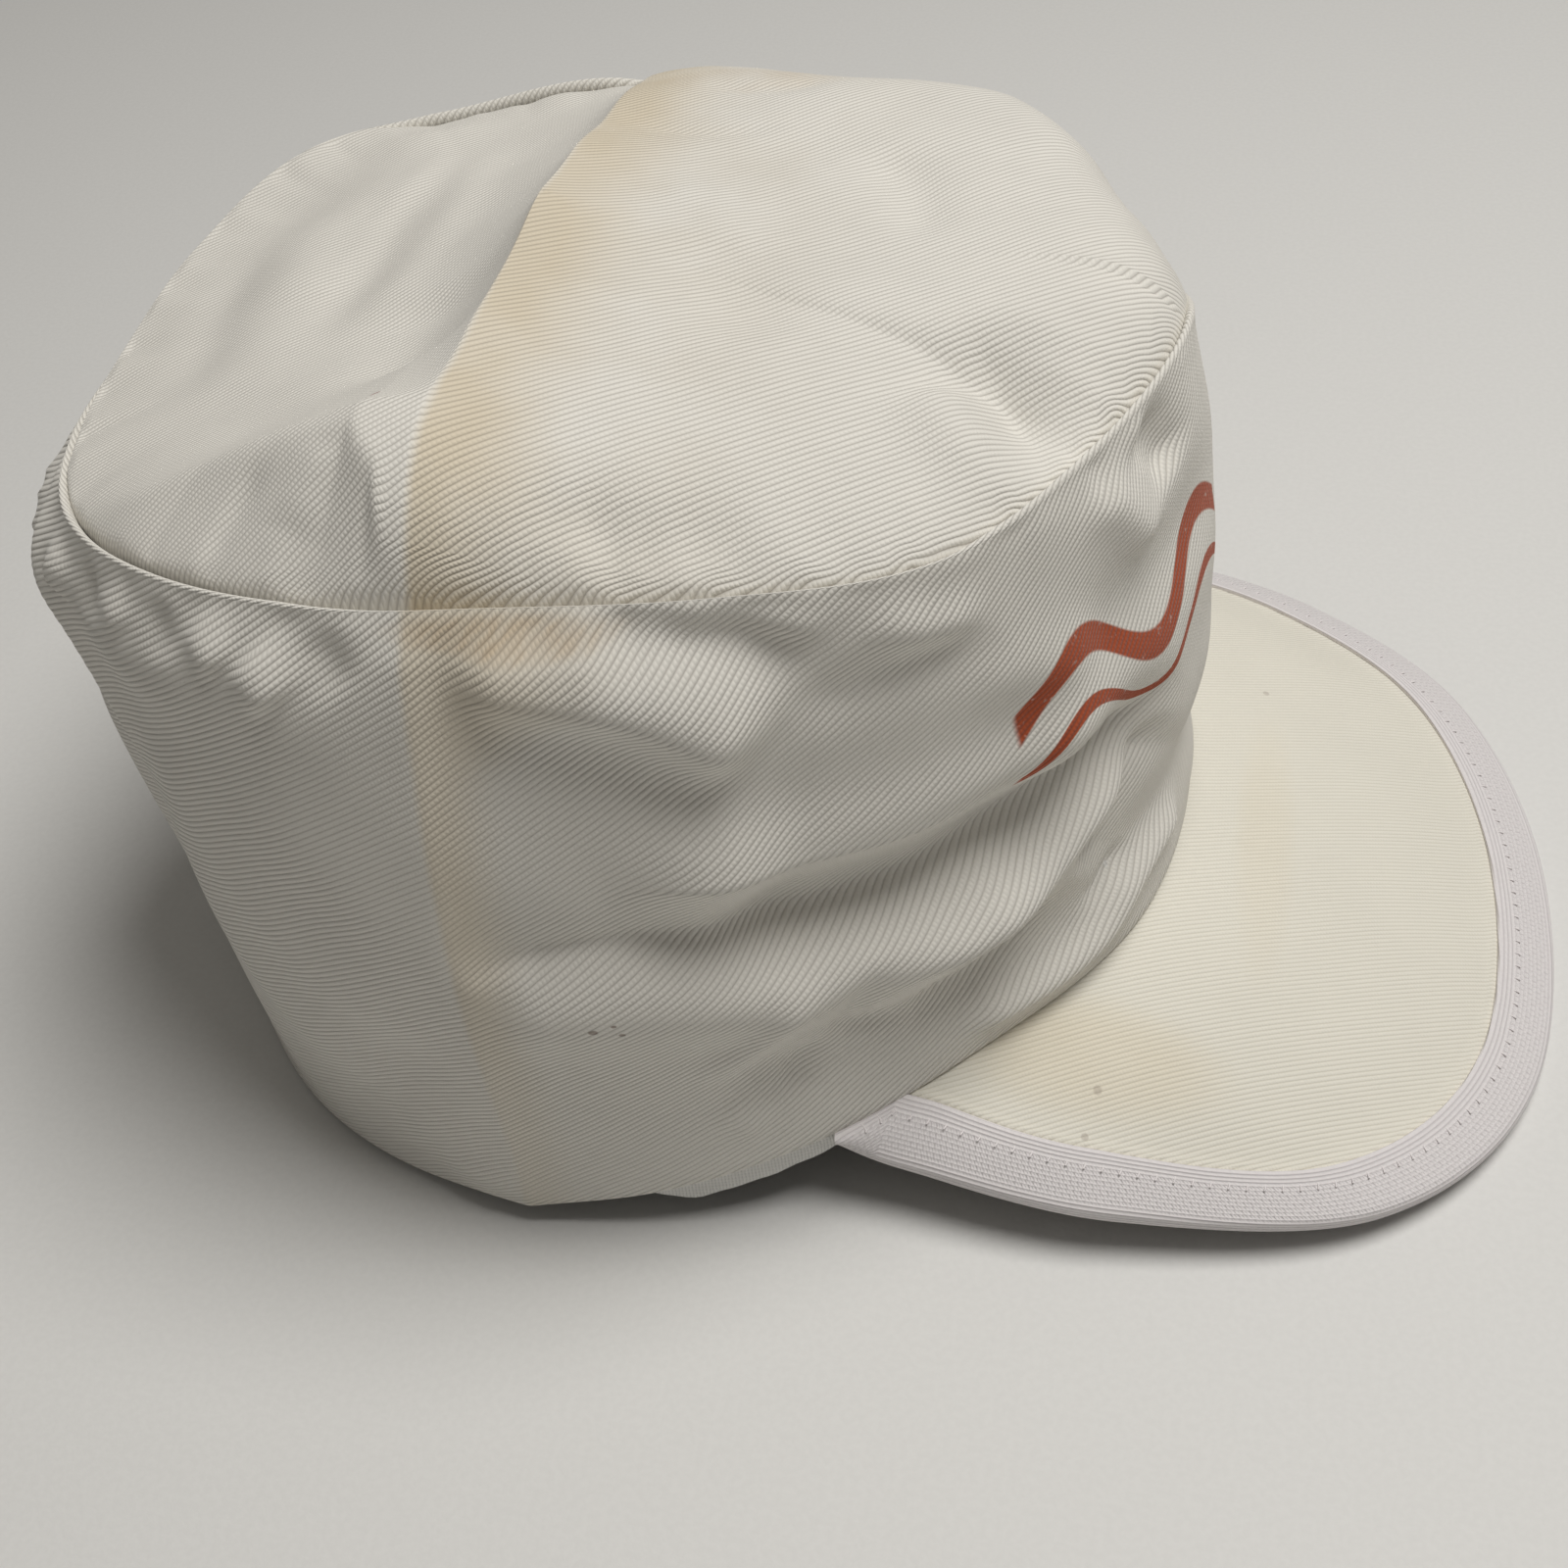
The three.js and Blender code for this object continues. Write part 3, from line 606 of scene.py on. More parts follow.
def make_side_band(finish):
    """The upright band, its hem rounded and its top edge turned over into the seam."""
    ups = np.linspace(0, 1, BAND_ROWS)
    ups = ups + 0.008 * np.sin(2 * math.pi * ups)
    turn, up = np.meshgrid(TURNS, ups, indexing="ij")
    lift = band_lift(turn, up).T
    outer = band_point(turn.T, up.T, 0, lift)
    rise = outer[:, :, 2].copy()
    zero, one = np.zeros(CROWN_COLUMNS), np.ones(CROWN_COLUMNS)

    share = along_table(SEAM_LIP, TURNS % 360)
    lip = [(inward, rise_by * (1 + LIP_ROLLS_IN * np.maximum(0, 1 - share)) + stands * share)
           for inward, rise_by, stands in LIP_SECTION]

    def edge(base_up, lift_there, steps):
        made = []
        for inward, rise_by in steps:
            points = band_point(TURNS, base_up, inward, lift_there)
            points[:, 2] += rise_by
            made.append(points)
        return np.array(made)

    first = np.argmax(ups > HEM_ENDS)
    inner = band_point(turn.T, up.T, CLOTH, lift)[first:-2:INNER_STEP][::-1]
    top_edge, bottom_edge = edge(one, lift[-1], lip), edge(zero, lift[0], HEM_SECTION)[::-1]
    rows = np.concatenate([outer[first:], top_edge, inner, bottom_edge])
    v_outer = rise[first:]
    v_lip = rise[-1] + np.arange(1, len(lip) + 1)[:, None] * 0.4
    v_inner = inner[:, :, 2] + 40
    v_hem = np.repeat(rise[0][None], len(HEM_SECTION), 0) + 0.3
    v = np.concatenate([v_outer, v_lip, v_inner, v_hem, v_outer[:1]])
    piece = round_crown("crown_side_band", rows, v, TURNS, finish)
    belongs(piece, "side_band")


def lay_flat():
    """The top's cloth laid flat: a grid of plan points, and where each lies on the cloth. Springs as long
    as the surface's own steps pull the grid out until the weave keeps its size on slopes."""
    ticks = np.arange(-LAY_SIDE, LAY_SIDE + 1, LAY_STEP)
    x, y = np.meshgrid(ticks, ticks, indexing="ij")
    turn = np.degrees(np.arctan2(-y, x)) % 360
    out = np.minimum(1, np.hypot(x, y) / (section(turn, "seam_r") - CLOTH - GAP))
    z = top_point(turn, out, 0)[..., 2]
    surface, flat = np.stack([x, y, z], -1), np.stack([x, y], -1)
    ways = ((1, 0), (0, 1), (1, 1), (1, -1))
    middle = len(ticks) // 2
    for _ in range(LAY_ROUNDS):
        push = np.zeros(flat.shape)
        for i, j in ways:
            a = (slice(i, None), slice(j, None) if j >= 0 else slice(None, j))
            b = (slice(None, -i or None), slice(None, -j or None) if j >= 0 else slice(-j, None))
            wanted = np.linalg.norm(surface[a] - surface[b], axis=-1)
            apart = flat[a] - flat[b]
            now = np.linalg.norm(apart, axis=-1)
            pull = apart * ((wanted - now) / now)[..., None] * LAY_PULL
            push[a] += pull
            push[b] -= pull
        flat = flat + push
        flat = flat - flat[middle, middle]
    return ticks, flat


def laid(ticks, flat, x, y):
    """Where plan points lie on the laid cloth."""
    i, j = ((v - ticks[0]) / LAY_STEP for v in (x, y))
    i0, j0 = (np.clip(np.floor(v).astype(int), 0, len(ticks) - 2) for v in (i, j))
    s, t = (i - i0)[..., None], (j - j0)[..., None]
    low = mix(flat[i0, j0], flat[i0 + 1, j0], s)
    high = mix(flat[i0, j0 + 1], flat[i0 + 1, j0 + 1], s)
    return mix(low, high, t)


def make_top_panel(finish):
    """The flat top, puffed between its folds, with its rim drawn down into the seam."""
    outs = np.concatenate([np.linspace(0.003, 0.9, TOP_RINGS - 24), np.linspace(0.905, 0.985, 18),
                           (0.989, 0.992, 0.995, 0.997, 0.999, 1)])
    turn, out = np.meshgrid(TURNS, outs, indexing="xy")
    upper = top_point(turn, out, 0)
    lower = upper[::LOWER_STEP] - (0, 0, CLOTH)
    rim = upper[-1] - (0, 0, CLOTH / 2)
    rows = np.concatenate([lower, [rim + (rim * (0.002, 0.002, 0))], upper[::-1]])
    columns = rows.shape[1]
    last = (len(rows) - 1) * columns
    plan = np.concatenate([rows[:, :, :2], rows[:, :1, :2]], 1)
    plan = laid(*lay_flat(), plan[..., 0], plan[..., 1])
    caps = [range(last, last + columns), range(columns)[::-1]]
    piece = cloth_mesh("crown_top_panel", rows, plan, finish, False, True, caps)
    belongs(piece, "top_panel")


def make_sweatband(finish):
    """The tape inside the hem, which shows a little under it in front."""
    turns = turns_round(SWEATBAND_COLUMNS)
    aside = np.abs((turns + 180) % 360 - 180)
    beside_peak = smooth((aside - BESIDE_PEAK_FROM) / 6)
    front = mix(-SWEATBAND_SHOWS, -SWEATBAND_BESIDE_PEAK, beside_peak)
    drop = mix(front, SWEATBAND_BACK, smooth((aside - DRAWS_BACK_FROM) / 12))
    drop = drop + SWEATBAND_RIPPLE * np.sin(np.radians(turns * 61)) * np.cos(np.radians(turns * 23))
    shares = np.array([0, 0.03, 0.3, 0.6, 0.9, 1])
    ups = drop[None] + (SWEATBAND_TOP - drop[None]) * shares[:, None]
    all_turns = np.broadcast_to(turns, ups.shape)
    lift = band_lift(all_turns, np.maximum(ups, 0))
    thin = np.array([0.3, 0, 0, 0, 0, 0.3])[:, None]
    outer = band_point(all_turns, ups, CLOTH + GAP + TAPE * thin, lift)
    inner = band_point(all_turns, ups, CLOTH + GAP + TAPE * (1 - thin), lift)[::-1]
    rows = np.concatenate([outer, inner])
    v = np.concatenate([rows[:, :, 2], rows[:1, :, 2]])
    piece = round_crown("hem_sweatband", rows, v, turns, finish)
    belongs(piece, "sweatband")


# The peak

def edge_value(station, column, slope=False):
    """A value of the peak's edge at a station from -1 to 1, or how fast it changes there."""
    rows = column_of(PEAK_EDGE, PEAK_EDGE_COLUMNS, column)
    rows = np.concatenate([[2 * rows[0] - rows[1]], rows, [2 * rows[-1] - rows[-2]]])
    place = (np.asarray(station, float) + 1) / 2 * (len(PEAK_EDGE) - 1)
    i = np.clip(np.floor(place).astype(int), 0, len(PEAK_EDGE) - 2)
    a, b, c, d = (rows[i + k] for k in range(4))
    return (curve_slope if slope else curve_through)(a, b, c, d, place - i)


class PeakFrame:
    """Where the peak's edge is at each station, and its ways along, in and up."""

    def __init__(self, stations):
        self.outer = np.stack([edge_value(stations, axis) for axis in "xyz"], -1)
        hem = band_point(-stations * PEAK_END_TURN, np.zeros(stations.shape), PEAK_TUCK)
        hem[:, 2] -= GAP + 0.1
        inward = hem - self.outer
        self.depth = np.linalg.norm(inward, axis=1)
        self.inward = inward / self.depth[:, None]
        along = np.stack([edge_value(stations, axis, slope=True) for axis in "xyz"], -1)
        up = np.cross(along, self.inward)
        self.up = up / np.linalg.norm(up, axis=1)[:, None]
        self.binding = np.minimum(edge_value(stations, "binding"), self.depth + BINDING_TUCK)
        steps = np.linalg.norm(np.diff(self.outer, axis=0), axis=1)
        self.run = np.concatenate([[0], np.cumsum(steps)])

    def place(self, inward, height):
        """Points some way in from the edge and some way up from the board's upper face."""
        share = np.clip(inward / self.depth, 0, 1.3)
        rise = height + PEAK_CAMBER * np.sin(math.pi * share)
        return self.outer + self.inward * np.asarray(inward)[..., None] + self.up * rise[..., None]


def spread(columns, reach):
    """Stations across the peak, closer together towards its ends."""
    return reach * np.sin(math.pi * (np.arange(columns + 1) / columns - 0.5))


def make_peak(finish):
    """The peak's card in its two faces of twill, pressed up a little beside the binding."""
    frames = PeakFrame(spread(PEAK_COLUMNS, PEAK_REACH))
    start = TAPE + GAP
    shares = np.linspace(0, 1, PEAK_ROWS)
    shares = shares - 0.06 * np.sin(2 * math.pi * shares)

    def face(height, trim, sign):
        made = []
        for share in shares:
            inward = mix(start, frames.depth - trim, share)
            point = frames.place(inward, 0 * inward + height)
            beside = inward - frames.binding
            ridge = sum(high * np.exp(-((beside - at) / wide) ** 2) for high, at, wide in PRESSED_RIDGES)
            uneven = cloth_unevenness(point[:, 0], point[:, 1], *PEAK_UNEVENNESS)
            fade = smooth(np.minimum(beside, frames.depth - trim - inward) / 6)
            made.append(point + frames.up * ((ridge if sign > 0 else 0) + uneven * fade)[:, None])
        return np.array(made)

    rows = np.concatenate([face(0, 0, 1), face(-PEAK_BOARD, PEAK_TRIM, -1)[::-1]])
    plan = np.concatenate([rows[:, :, :2], rows[:1, :, :2]])
    piece = cloth_mesh("peak_board", rows, plan, finish, True, False, end_caps(rows))
    belongs(piece, "peak")


def binding_section(frames):
    """The binding's section as rows of (inward, height): over the top, round the edge, back underneath,
    and its inner side. Its free edges are rounded, and it swells a little between the stitches."""
    top, bottom = TAPE + GAP, -PEAK_BOARD - TAPE - GAP
    width = frames.binding
    flat = width * 0
    rows = []
    for share in np.linspace(1, 0.14, 18):
        swell = BINDING_SWELL * math.sin(math.pi * (1 - share)) ** 0.5
        rows.append((width * share, flat + top + swell * smooth((1 - share) / 0.1)))
    middle, half = -PEAK_BOARD / 2, (top - bottom) / 2
    for angle in np.linspace(80, -80, 13):
        a = math.radians(angle)
        rows.append((flat + BINDING_ROUND[0] - BINDING_ROUND[1] * math.cos(a),
                     flat + middle + half * math.sin(a)))
    rows += [(width * share, flat + bottom) for share in np.linspace(0.14, 1, 10)]
    rows.append((width + 0.12, flat + bottom + TAPE * 0.5))
    rows += [(width * share, flat + bottom + TAPE) for share in np.linspace(1, 0.12, 5)]
    rows += [(width * share, flat + top - TAPE) for share in np.linspace(0.12, 1, 5)]
    rows.append((width + 0.12, flat + top - TAPE * 0.5))
    return rows


def make_binding(finish):
    """The woven tape folded over the peak's edge."""
    frames = PeakFrame(spread(BINDING_COLUMNS, BINDING_REACH))
    steps = binding_section(frames)
    rows = np.array([frames.place(inward, height) for inward, height in steps])
    gaps = [np.zeros(len(frames.run))]
    for (in_a, up_a), (in_b, up_b) in zip(steps, steps[1:]):
        gaps.append(np.hypot(in_b - in_a, up_b - up_a))
    across = np.cumsum(gaps, axis=0)
    v = np.concatenate([across, across[-1:] + 0.5])
    uv = np.stack(np.broadcast_arrays(frames.run, v), -1)
    piece = cloth_mesh("peak_edge_binding", rows, uv, finish, True, False, end_caps(rows))
    belongs(piece, "peak_binding")


# Stitches along the binding, made by Geometry Nodes

def add_node(tree, kind, values, settings):
    """A node with its settings, and its inputs by key: each a socket to link or a plain value."""
    made = tree.nodes.new(kind)
    for key, value in settings.items():
        setattr(made, key, value)
    for key, value in values.items():
        if isinstance(value, bpy.types.NodeSocket):
            tree.links.new(value, made.inputs[key])
        else:
            made.inputs[key].default_value = value
    return made


def stitch_tree(finish):
    """A Geometry Nodes tree that sews stitches along a curve: a thread bent into each hole."""
    tree = bpy.data.node_groups.new("sewn_row", "GeometryNodeTree")
    for name, way in (("Path", "INPUT"), ("Stitches", "OUTPUT")):
        tree.interface.new_socket(name, in_out=way, socket_type="NodeSocketGeometry")

    def node(kind, values, **settings):
        return add_node(tree, kind, values, settings).outputs

    given = node("NodeGroupInput", {})
    spaced = node("GeometryNodeCurveToPoints",
                  {"Curve": given["Path"], "Length": STITCH_STEP * MM}, mode="LENGTH")
    bar = node("GeometryNodeCurveArc",
               {"Resolution": 7, "Radius": STITCH_LENGTH * MM, "Start Angle": math.radians(61),
                "Sweep Angle": math.radians(58)}, mode="RADIUS")
    ring = node("GeometryNodeCurvePrimitiveCircle",
                {"Resolution": 6, "Radius": STITCH_RADIUS * MM}, mode="RADIUS")
    thread = node("GeometryNodeCurveToMesh",
                  {"Curve": bar["Curve"], "Profile Curve": ring["Curve"], "Fill Caps": True})
    sink = -STITCH_SINK * STITCH_LENGTH * MM
    seated = node("GeometryNodeTransform",
                  {"Geometry": thread["Mesh"], "Rotation": (math.radians(90), 0, 0),
                   "Translation": (0, 0, sink)})
    wander = node("FunctionNodeRandomValue",
                  {2: 0.0, 3: STITCH_WANDER, "Seed": STITCH_SEED}, data_type="FLOAT")
    twist = node("ShaderNodeCombineXYZ", {"Z": wander[1]})
    turned = node("FunctionNodeRotateEuler", {0: spaced["Rotation"], 1: twist[0]},
                  rotation_type="EULER", space="LOCAL")
    placed = node("GeometryNodeInstanceOnPoints",
                  {"Points": spaced["Points"], "Instance": seated[0], "Rotation": turned[0]})
    real = node("GeometryNodeRealizeInstances", {"Geometry": placed[0]})
    finished = node("GeometryNodeSetMaterial", {"Geometry": real[0], "Material": finish})
    node("NodeGroupOutput", {"Stitches": finished[0]})
    return tree


# Shader maths

def two_way(operation):
    return lambda wire, other: wire.recipe.maths(operation, wire, other)


class Wire:
    """A socket of a material that builds Math nodes when it is used in a sum."""

    def __init__(self, recipe, socket):
        self.recipe = recipe
        self.socket = socket

    __add__ = __radd__ = two_way("ADD")
    __sub__ = two_way("SUBTRACT")
    __mul__ = __rmul__ = two_way("MULTIPLY")
    __truediv__ = two_way("DIVIDE")
    over = two_way("MAXIMUM")
    under = two_way("MINIMUM")

    def __rsub__(self, other):
        return self.recipe.maths("SUBTRACT", other, self)

    def wave(self):
        """The sine of this value counted in half turns, so that each whole number is one ridge."""
        return self.recipe.maths("SINE", self * math.pi)

    def ridge(self):
        """A row of round ridges with narrow grooves between them, one to each whole number."""
        return self.recipe.maths("ABSOLUTE", self.wave())

    def floor(self):
        return self.recipe.maths("FLOOR", self)

    def fade(self, low, high):
        """From 0 at low to 1 at high, smoothly."""
        values = {0: self, 1: low, 2: high}
        return self.recipe.node("ShaderNodeMapRange", values, interpolation_type="SMOOTHSTEP")


class Recipe:
    """A material under construction."""

    def __init__(self, name, roughness, sheen):
        self.material = bpy.data.materials.new(name)
        self.material.use_nodes = True
        self.tree = self.material.node_tree
        self.shader = self.tree.nodes["Principled BSDF"]
        for name, value in (("Roughness", roughness), ("Sheen Weight", sheen),
                            ("Sheen Roughness", 0.5), ("Specular IOR Level", 0.3)):
            self.shader.inputs[name].default_value = value

    def node(self, kind, values, output=0, **settings):
        values = {key: getattr(value, "socket", value) for key, value in values.items()}
        return Wire(self, add_node(self.tree, kind, values, settings).outputs[output])

    def maths(self, operation, *values):
        return self.node("ShaderNodeMath", dict(enumerate(values)), operation=operation)

    def blend(self, share, one, other, way="MIX"):
        """A colour between two, each as (r, g, b) or a wire."""
        one, other = (v if isinstance(v, Wire) else (*v, 1.0) for v in (one, other))
        values = {0: share, 6: one, 7: other}
        return self.node("ShaderNodeMix", values, 2, data_type="RGBA", blend_type=way)

    def tint(self, colour, other, share):
        """One colour multiplied by another."""
        return self.blend(share, colour, other, "MULTIPLY")

    def cotton(self, colour, cloud, shade):
        """Cotton in a colour, a little darker in patches."""
        return self.blend(cloud.fade(0.35, 0.75), colour, [c * shade for c in colour])

    def specks(self, colour, u, v, spots, flat, share):
        """Dark specks at these spots of the cloth, each as (u, v, size) in metres."""
        for at_u, at_v, size in spots:
            mark = self.patch(u, v, (at_u, at_v), (size, size * flat), 0.5)
            colour = self.blend(mark * share, colour, DARK_SPECK)
        return colour

    def place(self):
        """The piece's own point, in metres, as three wires."""
        point = self.node("ShaderNodeTexCoord", {}, 3)
        return [self.node("ShaderNodeSeparateXYZ", {0: point}, k) for k in range(3)]

    def cloth(self):
        """The piece's UV map, in metres, as two wires."""
        uv = self.node("ShaderNodeUVMap", {}, uv_map="cloth")
        return [self.node("ShaderNodeSeparateXYZ", {0: uv}, k) for k in range(2)]

    def point(self, x, y, z=0.0):
        return self.node("ShaderNodeCombineXYZ", {0: x, 1: y, 2: z})

    def noise(self, place, size, detail=2.0):
        """Soft noise from 0 to 1 whose patches are about this size in metres."""
        values = {"Vector": self.point(*place), "Scale": 1 / size, "Detail": detail}
        return self.node("ShaderNodeTexNoise", values)

    def patch(self, u, v, centre, radii, soft=0.6):
        """An oval patch: 1 inside and 0 outside, with soft edges. Sizes in metres."""
        du, dv = (u - centre[0]) / radii[0], (v - centre[1]) / radii[1]
        return 1 - (du * du + dv * dv).fade(1 - soft, 1 + soft)

    def finish(self, colour, height, depth_mm, roughness=None):
        """Joins the colour and the bump to the shader and gives the finished material."""
        values = {"Strength": 1.0, "Distance": depth_mm * MM, "Height": height}
        bump = self.node("ShaderNodeBump", values)
        for name, wire in (("Base Color", colour), ("Roughness", roughness), ("Normal", bump)):
            if wire is not None:
                self.tree.links.new(wire.socket, self.shader.inputs[name])
        return self.material


def twill(recipe, u, v, angle, pitch_mm, wander=0.2):
    """Twill's height from 0 to about 1: slanting ribs, each of short floats, with slubs."""
    a = math.radians(angle)
    along, across = u * math.cos(a) + v * math.sin(a), v * math.cos(a) - u * math.sin(a)
    drift = recipe.noise((u, v), 0.022, 1.0)
    rib = across / (pitch_mm * MM) + drift * wander
    slub = recipe.noise((along / 4, across), 0.0011, 1.0)
    float_step = pitch_mm * 0.72 * MM
    yarn = (along / float_step + rib.floor() * 0.37 + slub * 0.5).ridge()
    ridge = rib.ridge()
    return ridge * (0.62 + yarn * 0.22) * (0.7 + slub * 0.6), slub


# Finishes

def band_finish():
    """White twill, stained along the front of each side fold, with the printed waves in front."""
    recipe = Recipe("washed_white_twill", 0.92, 0.12)
    u, v = recipe.cloth()
    x, y, z = recipe.place()
    height, slub = twill(recipe, u, v, WALL_RIB_ANGLE, WALL_RIB)
    cloud = recipe.noise((x, y, z), 0.03, 3.0)
    colour = recipe.cotton(WHITE_COTTON, cloud, 0.955)
    forward = x - FOLDS_AT * MM + (cloud - 0.5) * 0.002
    reach = 0.007 + (z - 0.095).fade(0, 0.02) * 0.014
    edge = forward.fade(-0.0012, 0.0006)
    stain = edge * (1 - (forward / reach).fade(0.3, 1.6)) * (0.7 + cloud * 0.5)
    stain = (stain * (0.35 + (z - 0.02).fade(0, 0.06) * 0.35)).under(1.0)
    colour = recipe.tint(colour, SWEAT_STAIN, stain)
    rust = recipe.patch(u, v, band_spot(*RUST_AT), *RUST)
    colour = recipe.tint(colour, BROWN_MARK, rust * (0.35 + slub.fade(0.35, 0.7) * 0.3))
    specks = [(*band_spot(turn, up), size) for turn, up, size in WALL_SPECKS]
    colour = recipe.specks(colour, u, v, specks, 0.7, 0.8)
    # painted shade: darker where the twill's height is low, between the ribs
    colour = recipe.tint(colour, PAINTED_GROOVE_SHADE, 1 - height.fade(0.0, 0.5))
    colour = inked_wave(recipe, u, v, colour, height)
    return recipe.finish(colour, height, RIB_DEPTH)


def inked_wave(recipe, u, v, colour, height):
    """Two plain waves printed round the front, worn thin in patches, the ink darker between the ribs as
    painted shade.
    """
    middle = band_spot(0, WAVE_UP)[1]
    end = band_spot(WAVE_TURNS, WAVE_UP)[0]
    swing = (u / WAVE_HALF_LENGTH).wave() * WAVE_SWING
    offs = [recipe.maths("ABSOLUTE", v - middle - shift - swing) / width for shift, width in WAVE_LINES]
    inked = 1 - offs[0].under(offs[1]).fade(0.86, 1.1)
    within = 1 - recipe.maths("ABSOLUTE", u).fade(end - 0.0012, end)
    worn = recipe.noise((u, v, 0.3), 0.0016).fade(0.22, 0.36)
    share = inked * within * (0.55 + worn * 0.45)
    # painted shade: the ink is darker where the twill's height is low, between the ribs
    ink = recipe.blend(height.fade(0.1, 0.8), [c * 0.8 for c in ORANGE_INK], ORANGE_INK)
    return recipe.blend(share, colour, ink)


def top_finish():
    recipe = Recipe("washed_white_twill_top", 0.92, 0.12)
    u, v = recipe.cloth()
    x, y, _ = recipe.place()
    height, _ = twill(recipe, u, v, TOP_RIB_ANGLE, TOP_RIB)
    cloud = recipe.noise((u, v), 0.026, 3.0)
    colour = recipe.cotton(WHITE_COTTON, cloud, 0.96)
    forward = x - FOLDS_AT * MM + (cloud - 0.5) * 0.002
    edge = forward.fade(-0.001, 0.0008)
    near = edge * (1 - (forward / 0.013).fade(0.1, 1.5))
    wide = edge * (1 - (forward / 0.05).fade(0.1, 1.2)) * cloud.fade(0.3, 0.65)
    stain = near * (0.6 + cloud * 0.4) + wide * 0.3
    colour = recipe.tint(colour, SWEAT_STAIN, stain.under(1.0))
    smudge = recipe.patch(forward, y, *SMUDGE) * cloud.fade(0.3, 0.6)
    colour = recipe.tint(colour, BROWN_MARK, smudge * 0.35)
    colour = recipe.blend(recipe.patch(forward, y, *RED_SPOT) * 0.85, colour, RED_SPECK)
    # painted shade: darker where the twill's height is low, between the ribs
    colour = recipe.tint(colour, PAINTED_GROOVE_SHADE, 1 - height.fade(0.0, 0.5))
    return recipe.finish(colour, height, RIB_DEPTH)


def peak_finish():
    recipe = Recipe("ivory_peak_twill", 0.88, 0.1)
    u, v = recipe.cloth()
    height, _ = twill(recipe, u, v, PEAK_RIB_ANGLE, PEAK_RIB)
    cloud = recipe.noise((u, v), 0.03, 3.0)
    colour = recipe.cotton(PEAK_COTTON, cloud, 0.97)
    tan = recipe.patch(u, v, *TAN) * (0.4 + cloud * 0.8)
    streak = recipe.patch(u, v, *TAN_STREAK) * (0.2 + cloud * 0.5)
    colour = recipe.tint(colour, TAN_STAIN, tan.over(streak) * 0.8)
    colour = recipe.specks(colour, u, v, PEAK_SPECKS, 1, 0.35)
    # painted shade: darker where the twill's height is low, between the ribs
    colour = recipe.tint(colour, PEAK_PAINTED_GROOVE_SHADE, 1 - height.fade(0.0, 0.5))
    return recipe.finish(colour, height, RIB_DEPTH * 0.55)


def binding_finish():
    """Woven tape: cords along both edges and a basket weave between them."""
    recipe = Recipe("woven_binding_tape", 0.72, 0.2)
    u, v = recipe.cloth()
    drift = recipe.noise((u, v), 0.01, 1.0)
    cords = (v / (TAPE_RIB * MM) + drift * 0.25).ridge()
    ticks = (u / 0.0006 + (v / (TAPE_RIB * MM)).floor() * 0.5).ridge()
    middle = v.fade(0.0024, 0.0034) * (1 - v.fade(0.0086, 0.0102))
    basket = (u / 0.0011 + drift * 0.5).ridge() * 0.5 + cords * ticks * 0.8
    height = cords * (1 - middle) + basket * middle
    fuzz = recipe.noise((u, v), 0.0007)
    colour = recipe.blend(fuzz.fade(0.3, 0.7), TAPE_WHITE, [c * 0.95 for c in TAPE_WHITE])
    # painted shade: darker where the weave's height is low, in its grooves
    colour = recipe.tint(colour, TAPE_PAINTED_GROOVE_SHADE, 1 - height.fade(0.0, 0.55))
    return recipe.finish(colour, height + fuzz * 0.25, TAPE_DEPTH, 0.62 + fuzz * 0.25)


def inner_tape_finish():
    recipe = Recipe("inner_woven_tape", 0.8, 0.15)
    u, v = recipe.cloth()
    ribs = (u / 0.00055).ridge()
    rows = (v / 0.0007 + ribs * 0.1).ridge()
    fuzz = recipe.noise((u, v), 0.0008)
    height = ribs * 0.7 + rows * 0.4 + fuzz * 0.2
    # painted shade: the tape is darker where the weave's height is low, in its grooves, and lighter on
    # its ribs
    colour = recipe.blend(height.fade(0.2, 1.0), (0.66, 0.65, 0.62), (0.82, 0.81, 0.78))
    return recipe.finish(colour, height, 0.12, 0.7 + fuzz * 0.2)


def thread_finish():
    recipe = Recipe("sewing_thread", 0.55, 0.1)
    x, y, z = recipe.place()
    twist = recipe.noise((x, y, z), 0.0005)
    colour = recipe.blend(twist.fade(0.3, 0.7), (0.84, 0.80, 0.80), (0.78, 0.74, 0.745))
    return recipe.finish(colour, twist, 0.06)


def make_stitches(finish):
    """One row of stitches through the binding, along its inner edge."""
    frames = PeakFrame(spread(BINDING_COLUMNS, PEAK_REACH - 0.03))
    inward = frames.binding - STITCH_FROM_EDGE
    line = (frames.place(inward, inward * 0 + TAPE + GAP + STITCH_LIFT) + (FOLDS_AT, 0, 0)) * MM
    curve = bpy.data.curves.new("stitch_path", "CURVE")
    curve.dimensions = "3D"
    curve.twist_mode = "Z_UP"
    spline = curve.splines.new("POLY")
    spline.points.add(len(line) - 1)
    for point, place in zip(spline.points, line):
        point.co = (*place, 1.0)
    path = add_object("stitch_path", curve)
    path.modifiers.new("sewing", "NODES").node_group = stitch_tree(finish)
    evaluated = path.evaluated_get(bpy.context.evaluated_depsgraph_get())
    mesh = bpy.data.meshes.new_from_object(evaluated)
    bpy.data.objects.remove(path)
    piece = add_object("binding_stitches", mesh)
    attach(piece, "root")


# The studio

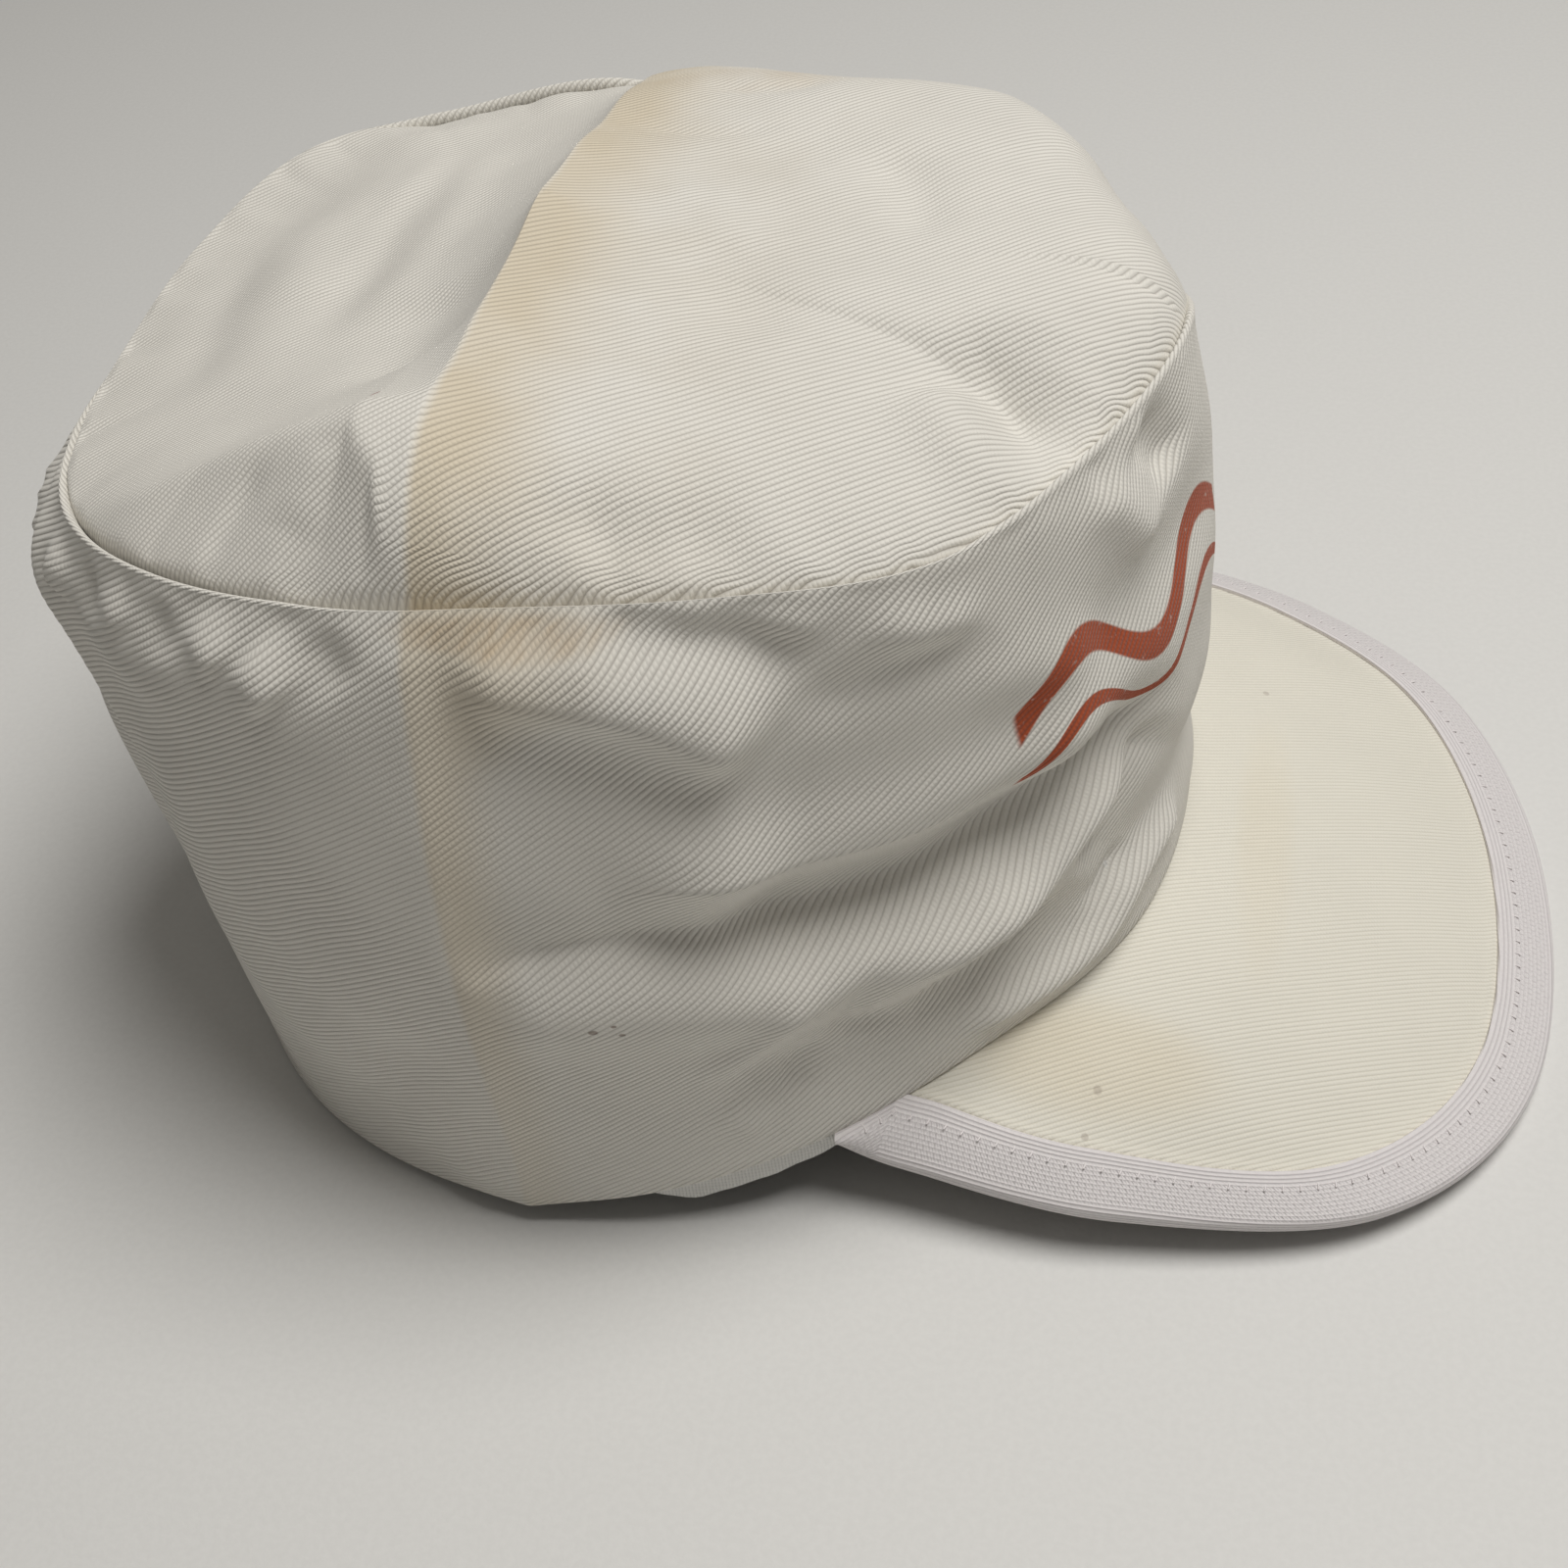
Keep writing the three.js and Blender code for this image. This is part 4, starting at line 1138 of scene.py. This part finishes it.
def make_camera():
    camera = bpy.data.cameras.new("camera")
    camera.lens = LENS
    camera.sensor_width = SENSOR
    camera.clip_start = 0.01
    place = Matrix.Translation(CAMERA_AT)
    for angle, axis in ((CAMERA_YAW, "Z"), (90 - CAMERA_PITCH, "X"), (CAMERA_ROLL, "Z")):
        place = place @ Matrix.Rotation(math.radians(angle), 4, axis)
    holder = add_object("camera", camera)
    holder.matrix_world = place
    bpy.context.scene.camera = holder


def make_window():
    """A soft round light above the cap, a little to its front and left."""
    lamp = bpy.data.lights.new("window", "AREA")
    lamp.shape = "DISK"
    lamp.size = WINDOW_SIZE
    lamp.energy = WINDOW_POWER
    lamp.color = WINDOW_COLOUR
    holder = add_object("window", lamp)
    direction = Vector(WINDOW_TOWARDS).normalized()
    holder.location = direction * WINDOW_DISTANCE + Vector(CAP_MIDDLE)
    holder.rotation_mode = "QUATERNION"
    holder.rotation_quaternion = direction.to_track_quat("Z", "Y")


def make_room():
    """Dim light from all round, and a plain pale floor."""
    world = bpy.data.worlds.new("room")
    world.use_nodes = True
    sky = world.node_tree.nodes["Background"]
    sky.inputs["Color"].default_value = ROOM_COLOUR
    sky.inputs["Strength"].default_value = ROOM_LIGHT
    bpy.context.scene.world = world
    floor = bpy.data.meshes.new("floor")
    corners = [(x * FLOOR_SIDE, y * FLOOR_SIDE, 0) for x, y in ((-1, -1), (1, -1), (1, 1), (-1, 1))]
    floor.from_pydata(corners, [], [(0, 1, 2, 3)])
    ground = add_object("floor", floor)
    recipe = Recipe("pale_floor", 0.6, 0.0)
    x, y, _ = recipe.place()
    grain = recipe.noise((x, y), 0.0012)
    colour = recipe.blend(grain.fade(0.3, 0.7), (0.76, 0.755, 0.735), (0.74, 0.735, 0.715))
    floor.materials.append(recipe.finish(colour, grain, 0.04))


make_camera()
make_window()
make_room()
bpy.context.scene.view_settings.view_transform = "Standard"

make_side_band(band_finish())
make_top_panel(top_finish())
make_peak(peak_finish())
make_binding(binding_finish())
make_sweatband(inner_tape_finish())
make_stitches(thread_finish())
